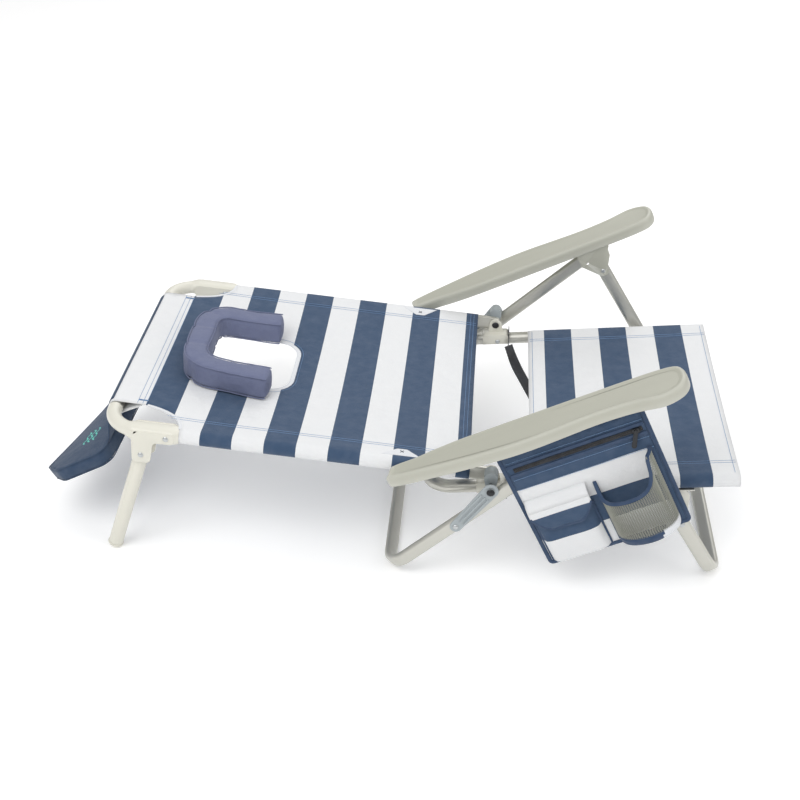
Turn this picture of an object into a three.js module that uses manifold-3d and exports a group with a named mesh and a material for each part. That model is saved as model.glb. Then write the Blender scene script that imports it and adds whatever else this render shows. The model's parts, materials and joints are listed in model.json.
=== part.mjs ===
// Low folding beach lounger with a face opening, opened out flat.
// Millimetres, +Z up. +X runs from the head end to the foot end, +Y to the sitter's left.
// The floor is Z = 0 and the back hinge is at X = 0.
import * as THREE from "three";
import Module from "manifold-3d";
import { mergeVertices } from "three/addons/utils/BufferGeometryUtils.js";

const wasm = await Module();
wasm.setup();

const { sin, cos, PI, hypot } = Math;
const degrees = (angle) => (angle * PI) / 180;

// Driving sizes
const STRIPE = 59; // width of one fabric stripe
const TUBE = 12.5; // radius of the seat and back tubes
const CLOTH = 1.4; // thickness of the seat and back fabric
const SLIP = 0.4; // gap left between pieces that touch on the real chair
const FLAT_TUBE = { half_height: 14, half_width: 6.8 }; // section of the leg tubes

const HINGE = { x: 0, z: 207 };
const SEAT = { slope: degrees(4.9), height: 174, half_width: 278, rear: -118, front: 446 };
const BACK = { slope: degrees(5.5), half_width: 289, length: 712, corner: 60 };
const ARM = { x: -164, z: 223, slope: degrees(25.4), top: 13.5, skirt: 22, wall: 3 };
const REAR_LEG = { foot_x: -185, foot_z: 12.1, top_x: 191, top_z: 354, side: 334 };
const FRONT_LEG = { foot_x: 425, foot_z: 10.6, top_x: 225.4, top_z: 338.7, side: 309.8 };
const FRONT_PIVOT = { x: 352, z: 131 };
const LINK_PIVOT = { x: -61, z: 124 };
const HEAD_LEG = { screw_x: -596, x: -646, z: 228, foot_x: -724, foot_z: 3.6, side: 289, radius: 14 };
const PIN = 3;

// Materials
const finish = (color, roughness, metalness = 0) =>
  new THREE.MeshStandardMaterial({ color, roughness, metalness });
const aluminium = finish("#d9d8cc", 0.42, 0.7);
const ivory = finish("#eeead8", 0.5);
const grey_plastic = finish("#bbbbb0", 0.55);
const link_plastic = finish("#b4babb", 0.5);
const steel = finish("#c4c8ca", 0.3, 0.9);
const dark_steel = finish("#3b3c3e", 0.45, 0.7);
const stripe_cloth = finish("#46617f", 0.9);
const cushion_cloth = finish("#6c7090", 0.95);
const pillow_cloth = finish("#3c5678", 0.95);
const navy_cloth = finish("#3a4f6e", 0.9);
const mesh_cloth = finish("#a5a69b", 0.8);
const webbing = finish("#3a3a3a", 0.9);
const zip = finish("#2e2a2a", 0.6);

// Each frame is a group, so its pieces are drawn in its own flat coordinates.
const chair = new THREE.Group();
const frame = (x, z, slope) => {
  const group = new THREE.Group();
  group.position.set(x, 0, z);
  group.rotation.y = slope;
  chair.add(group);
  return group;
};
const seat_frame = frame(0, SEAT.height, -SEAT.slope);
const back_frame = frame(HINGE.x, HINGE.z, BACK.slope);
const arm_frame = frame(ARM.x, ARM.z, -ARM.slope);

// Where a place on the chair is, seen from one of the frames.
const seen_from = (group, x, z) => {
  group.updateWorldMatrix(true, false);
  const place = group.worldToLocal(new THREE.Vector3(x, 0, z));
  return [place.x, place.z];
};

const add = (name, geometry, material, group = chair) => {
  const piece = new THREE.Mesh(geometry, material);
  piece.name = name;
  group.add(piece);
};

// Solids: union, cut and plain shapes
const solid = (geometry) => {
  const plain = geometry.clone();
  plain.deleteAttribute("normal");
  plain.deleteAttribute("uv");
  const merged = mergeVertices(plain, 1e-4);
  const vertProperties = new Float32Array(merged.attributes.position.array);
  const triVerts = new Uint32Array(merged.index.array);
  return new wasm.Manifold(new wasm.Mesh({ numProp: 3, vertProperties, triVerts }));
};
const surface = (manifold) => {
  const mesh = manifold.getMesh();
  const geometry = new THREE.BufferGeometry();
  geometry.setAttribute("position", new THREE.BufferAttribute(mesh.vertProperties, 3));
  geometry.setIndex(new THREE.BufferAttribute(mesh.triVerts, 1));
  return geometry;
};
const join = (...shapes) => surface(shapes.map(solid).reduce((sum, next) => sum.add(next)));
const cut = (shape, ...tools) =>
  surface(tools.map(solid).reduce((rest, tool) => rest.subtract(tool), solid(shape)));

// A plate drawn in X and Z, between two places across the chair.
const slab = (shape, y0, y1, curveSegments = 5) => {
  const far = Math.max(y0, y1);
  const depth = far - Math.min(y0, y1);
  const options = { depth, bevelEnabled: false, curveSegments };
  return new THREE.ExtrudeGeometry(shape, options).rotateX(PI / 2).translate(0, far, 0);
};
// A sheet drawn in X and Y, between two heights.
const sheet = (shape, z0, z1, curveSegments = 6) => {
  const options = { depth: z1 - z0, bevelEnabled: false, curveSegments };
  return new THREE.ExtrudeGeometry(shape, options).translate(0, 0, z0);
};
const block = (x0, x1, y0, y1, z0, z1) =>
  new THREE.BoxGeometry(x1 - x0, Math.abs(y1 - y0), z1 - z0).translate(
    (x0 + x1) / 2,
    (y0 + y1) / 2,
    (z0 + z1) / 2,
  );
const rod = (radius, y0, y1, x, z, sides = 12) =>
  new THREE.CylinderGeometry(radius, radius, Math.abs(y1 - y0), sides).translate(
    x,
    (y0 + y1) / 2,
    z,
  );

// A rivet across the chair: a shank between y0 and y1 with a domed head past each end.
const rivet = (radius, head, y0, y1, x, z) => {
  const low = Math.min(y0, y1);
  const high = Math.max(y0, y1);
  const dome = head * 0.45;
  const profile = [];
  for (let i = 0; i <= 2; i++) {
    const turn = (i / 2) * (PI / 2);
    profile.push(new THREE.Vector2(i ? head * sin(turn) : 0, low - dome * cos(turn)));
  }
  profile.push(new THREE.Vector2(radius, low), new THREE.Vector2(radius, high));
  for (let i = 2; i >= 0; i--) {
    const turn = (i / 2) * (PI / 2);
    profile.push(new THREE.Vector2(i ? head * sin(turn) : 0, high + dome * cos(turn)));
  }
  return new THREE.LatheGeometry(profile, 10).translate(x, 0, z);
};

// A tube's centre line: straight runs with rounded corners.
class BentLine extends THREE.Curve {
  constructor(corners, radius, bend_steps = 6) {
    super();
    const points = [corners[0]];
    for (let i = 1; i < corners.length - 1; i++) {
      const into = corners[i].clone().sub(corners[i - 1]).normalize();
      const away = corners[i + 1].clone().sub(corners[i]).normalize();
      const turn = into.angleTo(away);
      const reach = radius * Math.tan(turn / 2);
      const start = corners[i].clone().addScaledVector(into, -reach);
      const side = away.clone().addScaledVector(into, -away.dot(into)).normalize();
      for (let step = 0; step <= bend_steps; step++) {
        const angle = (turn * step) / bend_steps;
        const point = start.clone().addScaledVector(into, radius * sin(angle));
        points.push(point.addScaledVector(side, radius * (1 - cos(angle))));
      }
    }
    points.push(corners[corners.length - 1]);
    this.points = points;
    this.steps = points.length - 1;
  }
  getPointAt(u, target = new THREE.Vector3()) {
    const place = Math.min(u * this.steps, this.steps - 1e-9);
    const index = Math.floor(place);
    return target.lerpVectors(this.points[index], this.points[index + 1], place - index);
  }
  getPoint(u, target) {
    return this.getPointAt(u, target);
  }
  getTangentAt(u, target = new THREE.Vector3()) {
    const index = Math.round(u * this.steps);
    const before = this.points[Math.max(index - 1, 0)];
    const after = this.points[Math.min(index + 1, this.steps)];
    return target.copy(after).sub(before).normalize();
  }
}
const along = (section, line, curveSegments = 6) =>
  new THREE.ExtrudeGeometry(section, { steps: line.steps, extrudePath: line, curveSegments });
const point = (x, y, z = 0) => new THREE.Vector3(x, y, z);

const disc = (radius, x = 0, y = 0) => new THREE.Shape().absarc(x, y, radius, 0, 2 * PI);
const rectangle = (x0, x1, y0, y1) =>
  new THREE.Shape([
    new THREE.Vector2(x0, y0),
    new THREE.Vector2(x1, y0),
    new THREE.Vector2(x1, y1),
    new THREE.Vector2(x0, y1),
  ]);
const rounded_rectangle = (x0, x1, y0, y1, radius) => {
  const shape = new THREE.Shape();
  shape.absarc(x1 - radius, y1 - radius, radius, 0, PI / 2);
  shape.absarc(x0 + radius, y1 - radius, radius, PI / 2, PI);
  shape.absarc(x0 + radius, y0 + radius, radius, PI, 1.5 * PI);
  shape.absarc(x1 - radius, y0 + radius, radius, 1.5 * PI, 2 * PI);
  return shape;
};
// Two discs joined by their outer tangents, as a link or a lug is.
const lug = (x0, y0, r0, x1, y1, r1) => {
  const angle = Math.atan2(y1 - y0, x1 - x0);
  const lean = Math.acos((r0 - r1) / hypot(x1 - x0, y1 - y0));
  const shape = new THREE.Shape();
  shape.absarc(x0, y0, r0, angle + lean, angle - lean + 2 * PI);
  shape.absarc(x1, y1, r1, angle - lean, angle + lean);
  return shape;
};
// The legs' flat-sided tube, its tall side across the bend.
const oval = (height, width) => {
  const flat = height - width;
  const shape = new THREE.Shape();
  shape.absarc(flat, 0, width, -PI / 2, PI / 2);
  shape.absarc(-flat, 0, width, PI / 2, 1.5 * PI);
  return shape;
};
const leg_section = oval(FLAT_TUBE.half_height, FLAT_TUBE.half_width);
const SIDES = [
  ["right", -1],
  ["left", 1],
];

// Seat: a U of round tube with its open ends at the front
const seat_z = (x) => SEAT.height + x * Math.tan(SEAT.slope);
const seat_line = new BentLine(
  [
    point(SEAT.front, -SEAT.half_width),
    point(SEAT.rear, -SEAT.half_width),
    point(SEAT.rear, SEAT.half_width),
    point(SEAT.front, SEAT.half_width),
  ],
  46,
);
const seat_bores = SIDES.map(([, sign]) =>
  rod(PIN + 0.4, sign * SEAT.half_width - 20, sign * SEAT.half_width + 20, 6, 0),
);
add("seat_tube", cut(along(disc(TUBE), seat_line), ...seat_bores), aluminium, seat_frame);

// A sleeve round a straight tube along X, with the panel that joins its top to the other side's.
const ring = (y0) => {
  const shape = disc(TUBE + SLIP + CLOTH, y0, 0);
  shape.holes.push(disc(TUBE + SLIP, y0, 0));
  return shape;
};
const sleeve = (x0, x1, y0) => {
  const options = { depth: x1 - x0, bevelEnabled: false, curveSegments: 6 };
  const tube = new THREE.ExtrudeGeometry(ring(0), options);
  return tube.rotateY(PI / 2).translate(x0, y0, 0);
};
const PANEL_LOW = TUBE + SLIP;
const PANEL_HIGH = PANEL_LOW + CLOTH;
const SEAT_REAR_HEM = 73;
const SEAT_FRONT_HEM = 452;
add(
  "seat_fabric",
  join(
    sleeve(SEAT_REAR_HEM, SEAT_FRONT_HEM, -SEAT.half_width),
    sleeve(SEAT_REAR_HEM, SEAT_FRONT_HEM, SEAT.half_width),
    block(
      SEAT_REAR_HEM,
      SEAT_FRONT_HEM,
      -SEAT.half_width,
      SEAT.half_width,
      PANEL_LOW,
      PANEL_HIGH,
    ),
  ),
  stripe_cloth,
  seat_frame,
);

const [hinge_x, hinge_z] = seen_from(seat_frame, HINGE.x, HINGE.z);
const [drop_x, drop_z] = seen_from(seat_frame, FRONT_PIVOT.x, FRONT_PIVOT.z);
for (const [side, sign] of SIDES) {
  const rail = sign * SEAT.half_width;
  const plug = new THREE.CylinderGeometry(TUBE - 1, TUBE - 1, 3, 16).rotateZ(PI / 2);
  add(`seat_plug_${side}`, plug.translate(SEAT.front + 2, rail, 0), grey_plastic, seat_frame);

  // The bracket straddles the seat tube and stands up to the hinge bolt.
  const saddle = rounded_rectangle(-26, 30, -11, 15.5, 5);
  const tongue = lug(hinge_x, 14, 16, hinge_x, hinge_z, 13);
  const inside = sign * (SEAT.half_width + 1.5);
  const outside = sign * (SEAT.half_width + 4.5);
  const tube_room = rod(TUBE + SLIP, -40, 40, 0, 0, 16).rotateZ(PI / 2).translate(0, rail, 0);
  add(
    `hinge_bracket_${side}`,
    cut(
      join(slab(saddle, rail - 15.5, rail + 15.5), slab(tongue, inside, outside)),
      tube_room,
      block(-40, 40, rail - 20, rail + 20, -30, -6),
      rod(4.6, rail - 20, rail + 20, hinge_x, hinge_z),
      rod(PIN + 0.4, rail - 20, rail + 20, 6, 0),
    ),
    ivory,
    seat_frame,
  );

  // The drop bracket hangs from the seat tube down to the front leg's pivot.
  const hanger = lug(drop_x, drop_z, 12, drop_x, -PANEL_HIGH - 17, 16);
  const flange_top = -PANEL_HIGH - SLIP;
  add(
    `drop_bracket_${side}`,
    cut(
      join(
        slab(hanger, sign * 284, sign * 287),
        block(
          drop_x - 24,
          drop_x + 24,
          sign * 277.5 - 11,
          sign * 277.5 + 11,
          flange_top - 3,
          flange_top,
        ),
      ),
      rod(PIN + 0.4, sign * 275, sign * 295, drop_x, drop_z),
    ),
    aluminium,
    seat_frame,
  );
}

// Back: a U of round tube with flattened ends at the hinge and a full-width rail at the head
const back_line = new BentLine(
  [
    point(-34, -BACK.half_width),
    point(-BACK.length, -BACK.half_width),
    point(-BACK.length, BACK.half_width),
    point(-34, BACK.half_width),
  ],
  BACK.corner,
);
const arm_pivot_x = -hypot(ARM.x, ARM.z - HINGE.z);
const screw_x = HEAD_LEG.screw_x / cos(BACK.slope);
const back_ends = [];
const back_bores = [];
for (const [, sign] of SIDES) {
  const y = sign * BACK.half_width;
  back_ends.push(slab(lug(-46, 0, 10.4, 0, 0, 13.5), y - 5.5, y + 5.5));
  back_bores.push(rod(4.6, y - 20, y + 20, 0, 0));
  back_bores.push(rod(PIN + 0.9, y - 20, y + 20, arm_pivot_x, 0));
  back_bores.push(rod(PIN + 0.4, y - 20, y + 20, screw_x, 0));
}
add(
  "back_tube",
  cut(join(along(disc(TUBE), back_line), ...back_ends), ...back_bores),
  aluminium,
  back_frame,
);

// Back fabric: sleeves on both rails and the head rail, cut away at the two head corners
const BACK_HIP_HEM = -40;
const CORNER_START = -556;
const HEAD_HALF_WIDTH = 221;
const FACE = { x0: -601, x1: -403, half_width: 95, corner: 46 };
const back_outline = new THREE.Shape();
back_outline.moveTo(BACK_HIP_HEM, -BACK.half_width);
back_outline.lineTo(BACK_HIP_HEM, BACK.half_width);
back_outline.lineTo(CORNER_START, BACK.half_width);
back_outline.quadraticCurveTo(-578, 236, -652, HEAD_HALF_WIDTH);
back_outline.lineTo(-BACK.length, HEAD_HALF_WIDTH);
back_outline.lineTo(-BACK.length, -HEAD_HALF_WIDTH);
back_outline.lineTo(-652, -HEAD_HALF_WIDTH);
back_outline.quadraticCurveTo(-578, -236, CORNER_START, -BACK.half_width);
const head_sleeve = new THREE.ExtrudeGeometry(ring(0), {
  depth: 2 * HEAD_HALF_WIDTH,
  bevelEnabled: false,
  curveSegments: 6,
});
add(
  "back_fabric",
  cut(
    join(
      sheet(back_outline, PANEL_LOW, PANEL_HIGH),
      sleeve(CORNER_START, BACK_HIP_HEM, -BACK.half_width),
      sleeve(CORNER_START, BACK_HIP_HEM, BACK.half_width),
      head_sleeve.rotateX(PI / 2).translate(-BACK.length, HEAD_HALF_WIDTH, 0),
    ),
    sheet(
      rounded_rectangle(FACE.x0, FACE.x1, -FACE.half_width, FACE.half_width, FACE.corner),
      0,
      30,
    ),
    // the sleeves are open where the arm pivots come through
    block(arm_pivot_x - 16, arm_pivot_x + 16, -330, -270, -20, 11),
    block(arm_pivot_x - 16, arm_pivot_x + 16, 270, 330, -20, 11),
  ),
  stripe_cloth,
  back_frame,
);

// Horseshoe face cushion, open towards the hip
const CUSHION = { x0: -622, x1: -434, outer: 125, inner: 76, height: 45 };
const horseshoe = new THREE.Shape();
horseshoe.absarc(CUSHION.x0 + 34, CUSHION.outer - 34, 34, PI, PI / 2, true);
horseshoe.absarc(CUSHION.x1 - 9, CUSHION.outer - 9, 9, PI / 2, 0, true);
horseshoe.absarc(CUSHION.x1 - 9, CUSHION.inner + 9, 9, 0, -PI / 2, true);
horseshoe.absarc(CUSHION.x0 + 62, CUSHION.inner - 14, 14, PI / 2, PI);
horseshoe.absarc(CUSHION.x0 + 62, -CUSHION.inner + 14, 14, PI, 1.5 * PI);
horseshoe.absarc(CUSHION.x1 - 9, -CUSHION.inner - 9, 9, PI / 2, 0, true);
horseshoe.absarc(CUSHION.x1 - 9, -CUSHION.outer + 9, 9, 0, -PI / 2, true);
horseshoe.absarc(CUSHION.x0 + 34, -CUSHION.outer + 34, 34, -PI / 2, -PI, true);
const cushion_low = PANEL_HIGH + SLIP;
add(
  "face_cushion",
  sheet(horseshoe, cushion_low, cushion_low + CUSHION.height, 5),
  cushion_cloth,
  back_frame,
);

// Head legs in moulded corner brackets
const [fold_x, fold_z] = seen_from(back_frame, HEAD_LEG.x, HEAD_LEG.z);
const head_leg_reach = HEAD_LEG.x - HEAD_LEG.foot_x;
const head_leg_drop = HEAD_LEG.z - HEAD_LEG.foot_z;
const head_leg_length = hypot(head_leg_reach, head_leg_drop);
const head_leg_lean = Math.atan2(head_leg_reach, head_leg_drop);
const rail_room = along(disc(TUBE + SLIP), back_line);
for (const [side, sign] of SIDES) {
  const y = sign * HEAD_LEG.side;
  const head_leg_frame = frame(HEAD_LEG.x, HEAD_LEG.z, head_leg_lean);
  const leg = new THREE.CylinderGeometry(HEAD_LEG.radius, HEAD_LEG.radius, 1, 20);
  const tube_length = head_leg_length - 8;
  const leg_tube = leg.scale(1, tube_length + 12, 1).rotateX(PI / 2);
  add(
    `head_leg_${side}`,
    cut(leg_tube.translate(0, y, 6 - tube_length / 2), rod(PIN + 0.4, y - 20, y + 20, 0, 0)),
    ivory,
    head_leg_frame,
  );
  const cap_profile = [
    new THREE.Vector2(0, 0),
    new THREE.Vector2(11, 0),
    new THREE.Vector2(15, 4),
    new THREE.Vector2(15, 7.6),
    new THREE.Vector2(0, 7.6),
  ];
  const cap = new THREE.LatheGeometry(cap_profile, 20).rotateX(PI / 2);
  add(`head_foot_${side}`, cap.translate(0, y, -head_leg_length), ivory, head_leg_frame);

  // The corner bracket grips the back tube and drops two cheeks beside the leg.
  const body = rounded_rectangle(fold_x - 18, screw_x + 17, -21, 19, 8);
  const cheek = lug(fold_x + 6, -8, 24, fold_x, fold_z, 18);
  const leg_room = block(-46, 46, y - 14.6, y + 14.6, -90, 19.5);
  leg_room.translate(fold_x, 0, fold_z);
  add(
    `corner_bracket_${side}`,
    cut(
      join(slab(body, y - 18, y + 18), slab(cheek, y - 18, y + 18)),
      leg_room,
      rail_room,
      rod(PIN + 0.4, y - 30, y + 30, fold_x, fold_z),
      rod(PIN + 0.4, y - 30, y + 30, screw_x, 0),
    ),
    ivory,
    back_frame,
  );
  add(
    `head_leg_rivet_${side}`,
    rivet(PIN, 5.5, y - 18.4, y + 18.4, fold_x, fold_z),
    steel,
    back_frame,
  );
}

// Pillow: a foam block that hangs from the head rail on a cloth flap, twisted by its weight
const PILLOW = { near: -246, far: 214, drop: 84, width: 138, thick: 32 };
const pillow = new THREE.BoxGeometry(1, 1, 1, 4, 10, 1);
const corners = pillow.attributes.position;
for (let i = 0; i < corners.count; i++) {
  const across = corners.getY(i) + 0.5;
  const tilt = degrees(24 + 34 * across);
  const out = (0.5 - corners.getX(i)) * PILLOW.width;
  const up = (corners.getZ(i) - 0.5) * PILLOW.thick;
  corners.setXYZ(
    i,
    -out * cos(tilt) - up * sin(tilt),
    PILLOW.near + across * (PILLOW.far - PILLOW.near),
    -out * sin(tilt) + up * cos(tilt),
  );
}
const head_rail = back_frame.localToWorld(point(-BACK.length, 0));
const pillow_top = head_rail.clone().add(point(-19, 0, -PILLOW.drop));
add("pillow", pillow.translate(pillow_top.x, 0, pillow_top.z), pillow_cloth);
add(
  "pillow_flap",
  block(
    head_rail.x - 19,
    head_rail.x - 15.5,
    -210,
    206,
    pillow_top.z + 3.5,
    head_rail.z - 10,
  ),
  pillow_cloth,
);

// Armrests: a thin plastic shell with a skirt all round
const arm_outline = (inset) => {
  const outer = [
    [-20, 330],
    [-16, 346],
    [60, 361],
    [160, 375],
    [250, 380],
    [370, 371],
    [440, 374],
    [492, 385],
    [528, 372],
    [540, 342],
  ];
  const inner = [
    [531, 308],
    [500, 296],
    [420, 293.5],
    [160, 294.5],
    [80, 299],
    [36, 305.5],
    [0, 306.5],
    [-16, 311],
  ];
  const spline = new THREE.SplineCurve(
    [...outer, ...inner, outer[0]].map(([x, y]) => new THREE.Vector2(x, y)),
  );
  const rim = spline.getPoints(51);
  rim.pop();
  return rim.map((corner, i) => {
    const before = rim[(i + rim.length - 1) % rim.length];
    const after = rim[(i + 1) % rim.length];
    const tangent = after.clone().sub(before).normalize();
    return corner.clone().add(new THREE.Vector2(tangent.y, -tangent.x).multiplyScalar(-inset));
  });
};
const [rear_a, rear_b] = seen_from(arm_frame, REAR_LEG.top_x, REAR_LEG.top_z);
const [front_a, front_b] = seen_from(arm_frame, FRONT_LEG.top_x, FRONT_LEG.top_z);
const flip = (points, sign) => points.map((p) => new THREE.Vector2(p.x, sign * p.y));
const arm_under = ARM.top - ARM.wall;
for (const [side, sign] of SIDES) {
  const shell = new THREE.Shape(flip(arm_outline(0), sign));
  const room = new THREE.Shape(flip(arm_outline(-ARM.wall), sign));
  const crown = new THREE.ExtrudeGeometry(shell, {
    depth: ARM.skirt - 3,
    bevelThickness: 3,
    bevelSize: 3,
    bevelOffset: -3,
    bevelSegments: 1,
  });
  const body = solid(crown.translate(0, 0, ARM.top - ARM.skirt))
    .subtract(solid(block(-60, 600, sign * 240, sign * 440, -60, ARM.top - ARM.skirt)))
    .subtract(solid(sheet(room, ARM.top - ARM.skirt - 5, arm_under)))
    .add(solid(rod(9.5, sign * 306, sign * 330, 0, 0)))
    .add(solid(block(-9.5, 9.5, sign * 306, sign * 330, 0, arm_under + 1)))
    .subtract(solid(rod(PIN + 0.9, sign * 280, sign * 340, 0, 0)));
  add(`armrest_${side}`, surface(body), grey_plastic, arm_frame);
  add(
    `arm_pivot_pin_${side}`,
    rivet(PIN + 0.5, 7, sign * 275.8, sign * 331, arm_pivot_x, 0),
    steel,
    back_frame,
  );

  // Under each arm a folded plate takes the tops of both legs, on studs through its ears.
  const ear = new THREE.Shape();
  ear.moveTo(rear_a - 15, arm_under - SLIP);
  ear.lineTo(front_a + 30, arm_under - SLIP);
  ear.lineTo(front_a + 26, rear_b);
  ear.absarc(front_a, front_b, 12.5, 0.3, -2.4, true);
  ear.lineTo(rear_a - 14, rear_b - 3);
  const ears = [
    slab(ear, sign * 297.3, sign * 299.8, 6),
    slab(ear, sign * 343.4, sign * 345.9, 6),
    block(
      rear_a - 15,
      front_a + 30,
      sign * 297.3,
      sign * 345.9,
      arm_under - SLIP - 2.5,
      arm_under - SLIP,
    ),
  ];
  add(
    `arm_bracket_${side}`,
    cut(
      join(...ears),
      rod(PIN + 0.4, sign * 290, sign * 355, rear_a, rear_b),
      rod(PIN + 0.4, sign * 290, sign * 355, front_a, front_b),
    ),
    grey_plastic,
    arm_frame,
  );
  add(
    `rear_leg_rivet_${side}`,
    rivet(PIN, 4.4, sign * 343, sign * 346.3, rear_a, rear_b),
    steel,
    arm_frame,
  );
  add(
    `front_leg_rivet_${side}`,
    rivet(PIN, 4.6, sign * 296.9, sign * 300.2, front_a, front_b),
    steel,
    arm_frame,
  );
}

// Legs: two U frames of flat tube, each with a bar along the floor
const u_frame = (size, past_pivot, lower_bore) => {
  const length = hypot(size.top_x - size.foot_x, size.top_z - size.foot_z);
  const line = new BentLine(
    [
      point(length + past_pivot, -size.side),
      point(0, -size.side),
      point(0, size.side),
      point(length + past_pivot, size.side),
    ],
    44,
  );
  const holes = [];
  for (const [, sign] of SIDES)
    for (const [x, z] of [[length, 0], lower_bore])
      holes.push(rod(PIN + 0.4, sign * size.side - 12, sign * size.side + 12, x, z));
  return cut(along(leg_section, line, 4), ...holes);
};
const leg_group = (size) => {
  const angle = Math.atan2(size.top_z - size.foot_z, size.top_x - size.foot_x);
  return frame(size.foot_x, size.foot_z, -angle);
};
const rear_frame = leg_group(REAR_LEG);
const front_frame = leg_group(FRONT_LEG);
const link_bore = seen_from(rear_frame, LINK_PIVOT.x, LINK_PIVOT.z);
const drop_bore = seen_from(front_frame, FRONT_PIVOT.x, FRONT_PIVOT.z);
add("rear_leg", u_frame(REAR_LEG, 12, link_bore), aluminium, rear_frame);
add("front_leg", u_frame(FRONT_LEG, 11, drop_bore), aluminium, front_frame);

// Hinge hardware, links and pivots
for (const [side, sign] of SIDES) {
  const span = (y0, y1, radius, x, z) => rod(radius, sign * y0, sign * y1, x, z);
  add(
    `hinge_bolt_${side}`,
    join(
      span(278, 352.6, 4, HINGE.x, HINGE.z),
      span(273.5, 279, 7.5, HINGE.x, HINGE.z),
      span(348.2, 352.6, 7, HINGE.x, HINGE.z),
    ),
    dark_steel,
  );
  const hub = join(
    slab(lug(HINGE.x, HINGE.z, 10, HINGE.x, HINGE.z + 14, 12.5), sign * 302.4, sign * 325.6),
    span(295.2, 303, 9, HINGE.x, HINGE.z),
  );
  add(
    `hinge_spacer_${side}`,
    cut(hub, span(290, 330, 4.5, HINGE.x, HINGE.z)),
    link_plastic,
  );

  const link = lug(LINK_PIVOT.x, LINK_PIVOT.z, 11, HINGE.x, HINGE.z, 14.5);
  const plate = slab(link, sign * 342.2, sign * 345.2);
  const slant = Math.atan2(HINGE.z - LINK_PIVOT.z, HINGE.x - LINK_PIVOT.x);
  const link_length = hypot(HINGE.x - LINK_PIVOT.x, HINGE.z - LINK_PIVOT.z);
  const ribs = [-8.2, 0, 8.2].map((offset) =>
    block(14, link_length - 16, sign * 345, sign * 347.8, offset - 1.6, offset + 1.6)
      .rotateY(-slant)
      .translate(LINK_PIVOT.x, 0, LINK_PIVOT.z),
  );
  add(
    `link_${side}`,
    cut(
      join(plate, ...ribs),
      span(335, 355, 4.5, HINGE.x, HINGE.z),
      span(335, 355, PIN + 0.4, LINK_PIVOT.x, LINK_PIVOT.z),
    ),
    link_plastic,
  );
  add(
    `link_rivet_${side}`,
    rivet(PIN, 5.6, sign * 326.6, sign * 345.6, LINK_PIVOT.x, LINK_PIVOT.z),
    steel,
  );
  add(
    `front_pivot_rivet_${side}`,
    rivet(PIN, 5.6, sign * 283.6, sign * 317, FRONT_PIVOT.x, FRONT_PIVOT.z),
    steel,
  );
  add(
    `front_pivot_spacer_${side}`,
    cut(
      span(287.4, 302.6, 7, FRONT_PIVOT.x, FRONT_PIVOT.z),
      span(280, 310, PIN + 0.4, FRONT_PIVOT.x, FRONT_PIVOT.z),
    ),
    grey_plastic,
  );
}

// Rivets and screws that hold the brackets on their tubes
for (const [side, sign] of SIDES) {
  const rail = sign * SEAT.half_width;
  const screw_y = sign * HEAD_LEG.side;
  add(
    `bracket_rivet_${side}`,
    rivet(PIN, 5.2, rail - 15.9, rail + 15.9, 6, 0),
    steel,
    seat_frame,
  );
  add(
    `corner_screw_${side}`,
    rivet(PIN, 5.5, screw_y - 18.4, screw_y + 18.4, screw_x, 0),
    steel,
    back_frame,
  );
}

// Carry strap: webbing looped on the seat tube at both ends
const STRAP = { x: 30, half_width: 12.5, thick: 2 };
const strap_line = new BentLine(
  [
    point(STRAP.x, -252, 172),
    point(STRAP.x + 16, -232, 136),
    point(STRAP.x + 62, -110, 116),
    point(STRAP.x + 62, 110, 116),
    point(STRAP.x + 16, 232, 136),
    point(STRAP.x, 252, 172),
  ],
  30,
  4,
);
const strap_section = rectangle(
  -STRAP.half_width,
  STRAP.half_width,
  -STRAP.thick / 2,
  STRAP.thick / 2,
);
add("carry_strap", along(strap_section, strap_line), webbing);

// Storage pouch under the right arm, drawn in the arm's own frame
const POUCH = { a0: 184, a1: 449, top: -10.5, bottom: -268, side: -352.6 };
const outward = (depth) => POUCH.side - depth;
add(
  "pouch_panel",
  slab(
    rounded_rectangle(POUCH.a0, POUCH.a1, POUCH.bottom, POUCH.top, 12),
    outward(0),
    outward(2),
    3,
  ),
  navy_cloth,
  arm_frame,
);
add(
  "phone_pocket",
  cut(
    slab(rounded_rectangle(192, 304, -262, -164, 8), outward(2.4), outward(20), 3),
    block(195, 301, outward(4), outward(18), -259, -150),
  ),
  navy_cloth,
  arm_frame,
);
add(
  "pocket_flap",
  slab(rounded_rectangle(189, 307, -186, -140, 9), outward(20.6), outward(22.4), 3),
  navy_cloth,
  arm_frame,
);
const basket = (radius, depth) => {
  const shape = new THREE.Shape();
  shape.absellipse(379, outward(2.4), radius, depth, PI, 2 * PI);
  return shape;
};
add(
  "bottle_holder",
  cut(
    sheet(basket(58, 52), -262, -92, 8),
    sheet(basket(56, 50), -260, -80, 8).translate(0, -2, 0),
  ),
  mesh_cloth,
  arm_frame,
);
const ZIP = { a0: 200, a1: 438, b: -52 };
add(
  "zipper_tape",
  slab(rectangle(ZIP.a0, ZIP.a1, ZIP.b - 7, ZIP.b + 7), outward(2.4), outward(3.6)),
  zip,
  arm_frame,
);
const SLIDER = ZIP.a1 - 12;
add(
  "zipper_slider",
  slab(rounded_rectangle(SLIDER - 7, SLIDER + 7, ZIP.b - 5, ZIP.b + 5, 3), outward(4), outward(7.5), 3),
  dark_steel,
  arm_frame,
);
const pull = new THREE.Vector2(SLIDER, ZIP.b);
add(
  "zipper_pull",
  slab(
    lug(pull.x, pull.y, 3.5, pull.x - 30 * sin(ARM.slope), pull.y - 30 * cos(ARM.slope), 4.5),
    outward(7.9),
    outward(9.4),
    4,
  ),
  zip,
  arm_frame,
);

export default chair;
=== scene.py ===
"""A low folding beach lounger, opened out flat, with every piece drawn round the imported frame."""

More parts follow.
